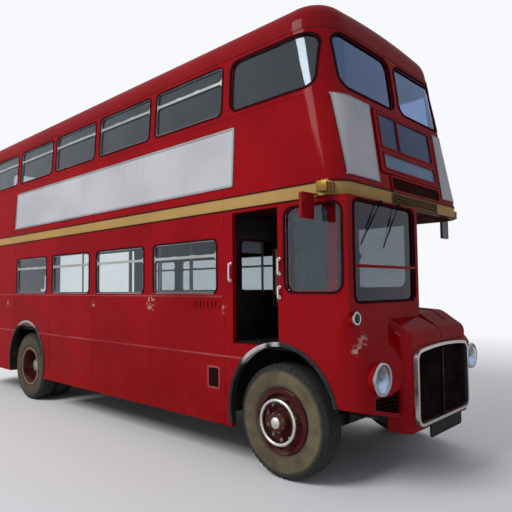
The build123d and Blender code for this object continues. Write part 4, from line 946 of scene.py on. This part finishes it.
# Reflector bowls: painted reflection, pale sky blue at the bottom and dark shade at the top.
painted_reflection = blend(tree, ramp(tree, axes(tree)["Z"], 0.90, 1.02), (0.42, 0.52, 0.72), (0.10, 0.09, 0.085))
painted_reflection = blend(tree, times(tree, mottle(tree, 30.0, 3.0, 0.4, 0.8), 0.3), painted_reflection, (0.08, 0.07, 0.06))
surface(tree, bsdf, painted_reflection, mottle(tree, 40.0, 3.0, 0.2, 0.8, 0.08, 0.25))
HEAD_POD = ((0.0, -0.09), (0.129, -0.09), (0.131, 0.036), (0.121, 0.036), (0.121, 0.016), (0.0, 0.016))
HEAD_RIM = ((0.112, 0.030), (0.128, 0.030), (0.136, 0.036), (0.138, 0.046), (0.132, 0.056), (0.118, 0.056))
HEAD_DISH = ((0.0, 0.020), (0.114, 0.020), (0.117, 0.050), (0.113, 0.046), (0.08, 0.038), (0.04, 0.031),
             (0.0, 0.028))
HEAD_LENS = ((0.0, 0.078), (0.05, 0.073), (0.09, 0.062), (0.116, 0.046), (0.112, 0.042), (0.088, 0.056),
             (0.05, 0.067), (0.0, 0.072))
SIDE_POD = ((0.0, -0.05), (0.048, -0.05), (0.049, 0.012), (0.0, 0.012))
SIDE_SHELL = ((0.0, 0.004), (0.049, 0.008), (0.055, 0.013), (0.056, 0.021), (0.050, 0.027), (0.040, 0.025),
              (0.036, 0.016), (0.0, 0.014))
SIDE_LENS = ((0.0, 0.034), (0.022, 0.031), (0.040, 0.022), (0.038, 0.017), (0.0, 0.026))
TAIL_SHELL = ((0.0, -0.05), (0.048, -0.05)) + SIDE_SHELL[1:]
HEAD_LAMPS = ((axle_front + 0.882, -0.945, 0.96), (axle_front + 0.882, 0.945, 0.96))
SIDE_LAMPS = ((axle_front + 0.808, -1.15, 1.455), (axle_front + 0.772, 1.0, 1.225))
TAIL_LAMPS = ((-1.0, 1.01), (-1.0, 1.15), (0.25, 1.01))
HEAD_STEPS, SIDE_STEPS, TAIL_STEPS = 44, 32, 28
BACKWARD = (-1, 0, 0)
pods, shells, dishes, lenses, dark_lenses, tails = (bmesh.new() for _ in range(6))
for x, y, z in HEAD_LAMPS:
    turned(shells, HEAD_RIM, (x, y, z), FORWARD, HEAD_STEPS)
    for mesh, outline in ((pods, HEAD_POD), (dishes, HEAD_DISH), (lenses, HEAD_LENS)):
        turned(mesh, outline, (x, y, z), FORWARD, HEAD_STEPS, closed=False)
    rod(dishes, (x + 0.026, y, z), (x + 0.046, y, z), 0.014, 14, 0.6)
for centre in SIDE_LAMPS:
    for mesh, outline in ((pods, SIDE_POD), (shells, SIDE_SHELL), (dark_lenses, SIDE_LENS)):
        turned(mesh, outline, centre, FORWARD, SIDE_STEPS, closed=False)
for y, z in TAIL_LAMPS:
    x = on_rear(y, z, 0.0).x + 0.008
    turned(shells, TAIL_SHELL, (x, y, z), BACKWARD, TAIL_STEPS, closed=False)
    turned(tails, SIDE_LENS, (x - 0.002, y, z), BACKWARD, TAIL_STEPS, closed=False)
fit(dishes, "headlamp_reflectors", REFLECTOR)
fit(pods, "lamp_pods", NOSE_RED)
fit(dark_lenses, "side_lamp_lenses", DARK_LENS)
fit(tails, "tail_lenses", RED_LENS)
fit(lenses, "headlamp_lenses", LENS)
lamp_piece = fit(shells, "lamp_bowls", CHROME)
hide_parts("lamps")

# Direction ears and mirrors: ribbed amber lenses in brass bezels beside the band, and flat mirrors
# in painted backs on a tubular arm.
AMBER = painted("amber_lens", (0.30, 0.10, 0.012), (0.20, 0.06, 0.010), rough=0.25, coat=0.5, dust=0.1)
BRASS = painted("ear_brass", (0.34, 0.20, 0.045), (0.20, 0.11, 0.03), rough=0.35, coat=0.0, dust=0.1,
                metallic=0.85)
MIRROR = painted("mirror_glass", (0.60, 0.64, 0.68), (0.55, 0.60, 0.64), rough=0.03, coat=0.0, dust=0.0,
                 metallic=1.0, wave=0.02)
MIRROR_BACK, tree, bsdf = shader("mirror_back_paint", 0.0, 0.3, 0.0, 0.14)
base = blend(tree, ramp(tree, axes(tree)["Y"], -0.2, 0.2), RED_COLOUR, (0.05, 0.05, 0.055))
base = blend(tree, times(tree, mottle(tree, 18.0, 4.0, 0.4, 0.8), 0.35), base, (0.03, 0.012, 0.012))
surface(tree, bsdf, base, mottle(tree, 30.0, 4.0, 0.2, 0.8, 0.2, 0.45))
dress(AMBER, "direction_ears")
dress(MIRROR_BACK, "mirrors")
EAR_BARS, EAR_LOW, EAR_TOP = 4, 2.484, 2.571
ear_tail, ear_nose, mirror_x = axle_front + 0.569, axle_front + 0.671, axle_front + 0.50
ears, panes = bmesh.new(), bmesh.new()
for hand in (-1, 1):
    for out in spaced(half_width + 0.016, 0.026, EAR_BARS):
        y = hand * out
        bar(ears, (ear_tail, y - 0.004, EAR_LOW), (ear_nose, y + 0.004, EAR_TOP), 0.002)
    y = hand * (half_width + 0.05)
    for x in (axle_front + 0.600, axle_front + 0.645):
        rod(ears, (x, y, EAR_TOP - 0.008), (x, y, EAR_TOP + 0.019), 0.012, 12)
    rod(ears, (mirror_x, hand * (half_width - 0.002), 2.48), (mirror_x, hand * (half_width + 0.012), 2.48),
        0.022, 14)
    plate_on(panes, lambda u, v, w: Vector((mirror_x - 0.0145 - w, u, v)), hand * (half_width + 0.135),
             2.375, 0.15, 0.195, 0.035, 0.002, -0.001)
fit(ears, "ear_bezels", BRASS)
fit(panes, "mirror_panes", MIRROR)

# Poles, stairs and seat rails: tubular steel under worn ivory covering, a boxed stair with alloy
# nosings, and bent rails on the seat backs.
IVORY = painted("pole_ivory", (0.55, 0.50, 0.38), (0.45, 0.40, 0.30), rough=0.35, coat=0.2, dust=0.1)
MAROON = painted("stair_maroon", (0.085, 0.008, 0.012), (0.06, 0.006, 0.010), rough=0.4, coat=0.1)
dress(IVORY, "hand_poles")
dress(MAROON, "staircase", "seat_frames")
SEAT_PITCH, RAIL_BACK, RAIL_FOOT = 0.73, 0.086, 0.855
# Each deck of seats: floor, first row, rows, inner and outer end of a seat.
DECKS = ((saloon_z, bulkhead_x - 0.76, 4, 0.31, 1.16), (upper_z, deck_front - 1.15, 8, 0.27, 1.10))
seat_rails = bmesh.new()
for z, x_first, rows, y_in, y_out in DECKS:
    for x in spaced(x_first - RAIL_BACK, -SEAT_PITCH, rows):
        for hand in (-1, 1):
            ends = [Vector((x, hand * y, z + RAIL_FOOT)) for y in (y_in + 0.02, y_out - 0.02)]
            tops = [end + Vector((-0.008, 0, 0.05)) for end in ends]
            rod(seat_rails, tops[0], tops[1], 0.014, 10)
            for end, top in zip(ends, tops):
                rod(seat_rails, end, top, 0.013, 10)
fit(seat_rails, "seat_back_rails", IVORY)
stair_low, stair_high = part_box("staircase")
STEPS = 9
rise = (upper_z - PLATFORM_Z) / STEPS
going = (stair_high.x - stair_low.x) / (STEPS - 1)
nosing = bmesh.new()
for x, z in zip(spaced(stair_low.x, going, STEPS - 1), spaced(PLATFORM_Z + rise, rise, STEPS - 1)):
    bar(nosing, (x - 0.004, stair_low.y + 0.01, z - 0.025),
        (x + 0.045, stair_high.y - 0.035, z + 0.004), 0.002)
fit(nosing, "stair_nosings", NOSING)

# Seat pads: foam cushions and squabs covered in checked wool moquette with piped edges, sprung
# into the bent seat frames; the driver's seat frame and steering wheel are plain black.
CLOTH, tree, bsdf = shader("checked_moquette", 0.0, 0.92, 0.0, 0.2)
CHECKS = (("X", 9.0, (0.20, 0.13, 0.05)), ("Y", 8.0, (0.02, 0.03, 0.025)), ("Z", 9.0, (0.18, 0.11, 0.05)))
base = blend(tree, mottle(tree, 160.0, 2.0, 0.3, 0.7), (0.11, 0.022, 0.022), (0.07, 0.015, 0.018))
for axis, pitch, tint in CHECKS:
    check = wired(tree, "TexWave", {"Vector": object_place(tree), "Scale": pitch},
                  bands_direction=axis)["Fac"]
    base = blend(tree, times(tree, ramp(tree, check, 0.70, 0.92), 0.55), base, tint)
surface(tree, bsdf, base, mottle(tree, 60.0, 3.0, 0.2, 0.8, 0.8, 1.0))
bump(tree, bsdf, noise(tree, 420.0, 2.0), 0.5, 0.002)
bsdf.inputs["Sheen Weight"].default_value = 0.3
PIPING = painted("piping_hide", (0.09, 0.012, 0.014), (0.06, 0.01, 0.01), rough=0.5)
RIM = painted("wheel_rim_black", (0.012, 0.012, 0.012), (0.018, 0.018, 0.018), rough=0.3)
dress(BLACK, "driver_seat")
dress(RIM, "steering_wheel")
PIPING_R, PIPING_CORNERS, PIPING_LEVEL = 0.006, 24, 0.26


def pad(bm, matrix, size):
    block = bmesh.new()
    bmesh.ops.create_cube(block, size=2.0)
    bmesh.ops.subdivide_edges(block, edges=block.edges[:], cuts=7, use_grid_fill=True)
    for vert in block.verts:
        a, b, c = vert.co
        crown = 0.62 + 0.38 * (1 - a ** 4) * (1 - b ** 4)
        side = 1 - 0.10 * c * c
        vert.co = (0.5 * size[0] * a * side * (1 - 0.035 * (1 - b * b)),
                   0.5 * size[1] * b * side * (1 - 0.02 * (1 - a * a)),
                   0.5 * size[2] * (c * crown if c > 0 else c))
    bmesh.ops.transform(block, matrix=matrix, verts=block.verts)
    pour(bm, block)


def piping(curve, matrix, size):
    spline = curve.splines.new("POLY")
    spline.points.add(PIPING_CORNERS - 1)
    for i in range(PIPING_CORNERS):
        a = math.tau * i / PIPING_CORNERS
        u = math.copysign(abs(math.cos(a)) ** 0.25, math.cos(a)) * size[0] * 0.475
        v = math.copysign(abs(math.sin(a)) ** 0.25, math.sin(a)) * size[1] * 0.485
        spline.points[i].co = (*(matrix @ Vector((u, v, PIPING_LEVEL * size[2]))), 1.0)
    spline.use_cyclic_u = True


UPRIGHT = Matrix.Rotation(math.radians(90), 4, "Y")
LEANING = Matrix.Rotation(math.radians(-8.05), 4, "Y") @ UPRIGHT
BOX_WIDTH, DRIVER_Y, DRIVER_Z = 1.18, -0.56, 1.195
driver_x = axle_front - 0.36
seats = []
for z, x_first, rows, y_in, y_out in DECKS:
    wide = y_out - y_in - 0.02
    for x in spaced(x_first, -SEAT_PITCH, rows):
        for hand in (-1, 1):
            y = hand * (y_in + y_out) / 2
            seats.append((Matrix.Translation((x + 0.225, y, z + 0.375)), (0.44, wide, 0.09)))
            seats.append((Matrix.Translation((x - 0.004, y, z + 0.63)) @ LEANING, (0.405, wide, 0.078)))
for hand in (-1, 1):
    on_side = Matrix.Rotation(hand * math.radians(90), 4, "X")
    seats.append((Matrix.Translation((axle_rear, hand * 0.862, 1.16)), (BOX_WIDTH, 0.444, 0.10)))
    seats.append((Matrix.Translation((axle_rear, hand * 1.1315, 1.355)) @ on_side,
                  (BOX_WIDTH, 0.49, 0.085)))
seats.append((Matrix.Translation((driver_x + 0.24, DRIVER_Y, DRIVER_Z + 0.385)), (0.42, 0.45, 0.09)))
seats.append((Matrix.Translation((driver_x + 0.0375, DRIVER_Y, DRIVER_Z + 0.667)) @ UPRIGHT,
              (0.465, 0.45, 0.075)))
pads, welt = bmesh.new(), bmesh.new()
welts = bpy.data.curves.new("seat_piping", "CURVE")
welts.dimensions = "3D"
welts.bevel_depth = PIPING_R
welts.bevel_resolution = 1
for matrix, size in seats:
    pad(pads, matrix, size)
    piping(welts, matrix, size)
pad_piece = fit(pads, "seat_pads", CLOTH, crease=60.0)
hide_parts("seat_cushions")
curve_piece = bpy.data.objects.new("piping_curve", welts)
welt.from_mesh(bpy.data.meshes.new_from_object(curve_piece))
bpy.data.objects.remove(curve_piece)
bpy.data.curves.remove(welts)
fit(welt, "seat_piping", PIPING)

# Rear end: hinges and handle of the emergency window in alloy, a blank plate in a raised frame and
# rub beads screwed to the curved corner panel.
REAR_PLATE = (-0.42, 1.30, 0.50, 0.16, 0.02)
rear, tailwork, plate = (bmesh.new() for _ in range(3))
for y in (-0.45, 0.45):
    plate_on(rear, on_rear, y, 3.985, 0.09, 0.05, 0.006, 0.014)
plate_on(rear, on_rear, 0.0, 3.275, 0.16, 0.028, 0.006, 0.016)
bead_on(tailwork, on_rear, -0.9, 0.37, RAIL_Z - 0.12, tall=0.028, proud=0.011)
bead_on(tailwork, on_rear, -1.0, 1.0, UPPER_RAIL_Z - 0.13, tall=0.02, proud=0.006)
rim_on(tailwork, on_rear, *REAR_PLATE, lip=0.014, reach=0.0, proud=0.012)
plate_on(plate, on_rear, *REAR_PLATE, 0.005)
fit(rear, "emergency_window_fittings", NOSING)
fit(tailwork, "rear_beads", RED)
fit(plate, "rear_plate_blank", PLATE)

# Bonnet trim: a raised rib pressed along the lid, and two bright sprung catches riveted to its
# nearside edge.
bonnet_low, bonnet_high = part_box("bonnet")
rib, catch = bmesh.new(), bmesh.new()
bead_on(rib, on_top_of("bonnet"), bonnet_low.x + 0.06, bonnet_high.x - 0.10, 0.36, tall=0.03, proud=0.009,
        pieces=30)
for x in (bonnet_low.x + 0.35, bonnet_high.x - 0.30):
    bar(catch, (x - 0.012, bonnet_high.y - 0.002, 1.22), (x + 0.012, bonnet_high.y + 0.012, 1.30), 0.003)
fit(rib, "bonnet_rib", RED, "bonnet")
fit(catch, "bonnet_catches", BRIGHT, "bonnet")

# Stage: a plain pale floor that fades into the backdrop, a soft sky, three large area lights and
# the camera at the photograph's place and angle.
BACKDROP = (0.93, 0.95, 0.97, 1.0)
LIGHTS = (("key", (-1.5, -15.0, 14.0), (0.0, 0.0, 2.0), 8.0, 2500),
          ("front", (16.0, 3.0, 9.0), (3.0, 0.0, 2.0), 10.0, 60),
          ("back", (-9.0, 12.0, 11.0), (0.0, 0.0, 2.0), 12.0, 1300))
CAMERA_PLACE = (6.2013, -4.6923, 1.7173)
YAW, PITCH, ROLL = 0.7511, 0.0593, -0.0098
FOCAL_PIXELS, PICTURE_PIXELS, SENSOR_MM = 514.8, 512, 36.0


def seen_ray(tree):
    path = wired(tree, "LightPath", {})
    either = path["Is Camera Ray"]
    for kind in ("Is Glossy Ray", "Is Transmission Ray"):
        either = wired(tree, "Math", {0: either, 1: path[kind]}, operation="MAXIMUM")[0]
    return either


def mixed(tree, factor, a, b, output):
    mix = wired(tree, "MixShader", {0: factor, 1: a, 2: b})
    tree.links.new(mix[0], tree.nodes[output].inputs["Surface"])


bpy.ops.mesh.primitive_plane_add(size=120)
floor = bpy.context.object
floor.name = "stage_floor"
floor_mat, tree, bsdf = shader("stage_floor", 0.0, 0.9, 0.0, 0.1)
bsdf.inputs["Base Color"].default_value = (0.80, 0.80, 0.80, 1.0)
reach = wired(tree, "VectorMath", {0: object_place(tree)}, operation="LENGTH")["Value"]
fade = times(tree, ramp(tree, reach, 5.0, 15.0), seen_ray(tree))
far = wired(tree, "Emission", {"Color": BACKDROP})[0]
mixed(tree, fade, bsdf.outputs[0], far, "Material Output")
floor.data.materials.append(floor_mat)
world = bpy.data.worlds.new("studio")
bpy.context.scene.world = world
world.use_nodes = True
tree = world.node_tree
sky = tree.nodes["Background"]
sky.inputs["Color"].default_value = (0.84, 0.90, 1.0, 1.0)
sky.inputs["Strength"].default_value = 0.38
seen = wired(tree, "Background", {"Color": BACKDROP})[0]
mixed(tree, seen_ray(tree), sky.outputs[0], seen, "World Output")
for name, place, target, size, power in LIGHTS:
    data = bpy.data.lights.new(name, "AREA")
    data.size = size
    data.energy = power
    lamp = bpy.data.objects.new(name, data)
    bpy.context.scene.collection.objects.link(lamp)
    lamp.location = place
    lamp.rotation_euler = (Vector(target) - Vector(place)).to_track_quat("-Z", "Y").to_euler()
camera = bpy.data.objects.new("camera", bpy.data.cameras.new("camera"))
bpy.context.scene.collection.objects.link(camera)
forward = Vector((-math.sin(YAW) * math.cos(PITCH), math.cos(YAW) * math.cos(PITCH), math.sin(PITCH)))
right = Vector((math.cos(YAW), math.sin(YAW), 0.0))
up = right.cross(forward)
right, up = right * math.cos(ROLL) + up * math.sin(ROLL), up * math.cos(ROLL) - right * math.sin(ROLL)
turn = Matrix((right, up, -forward)).transposed().to_4x4()
camera.matrix_world = Matrix.Translation(CAMERA_PLACE) @ turn
camera.data.lens = FOCAL_PIXELS / PICTURE_PIXELS * SENSOR_MM
camera.data.clip_end = 200.0
bpy.context.scene.camera = camera
bpy.context.scene.view_settings.view_transform = "Standard"
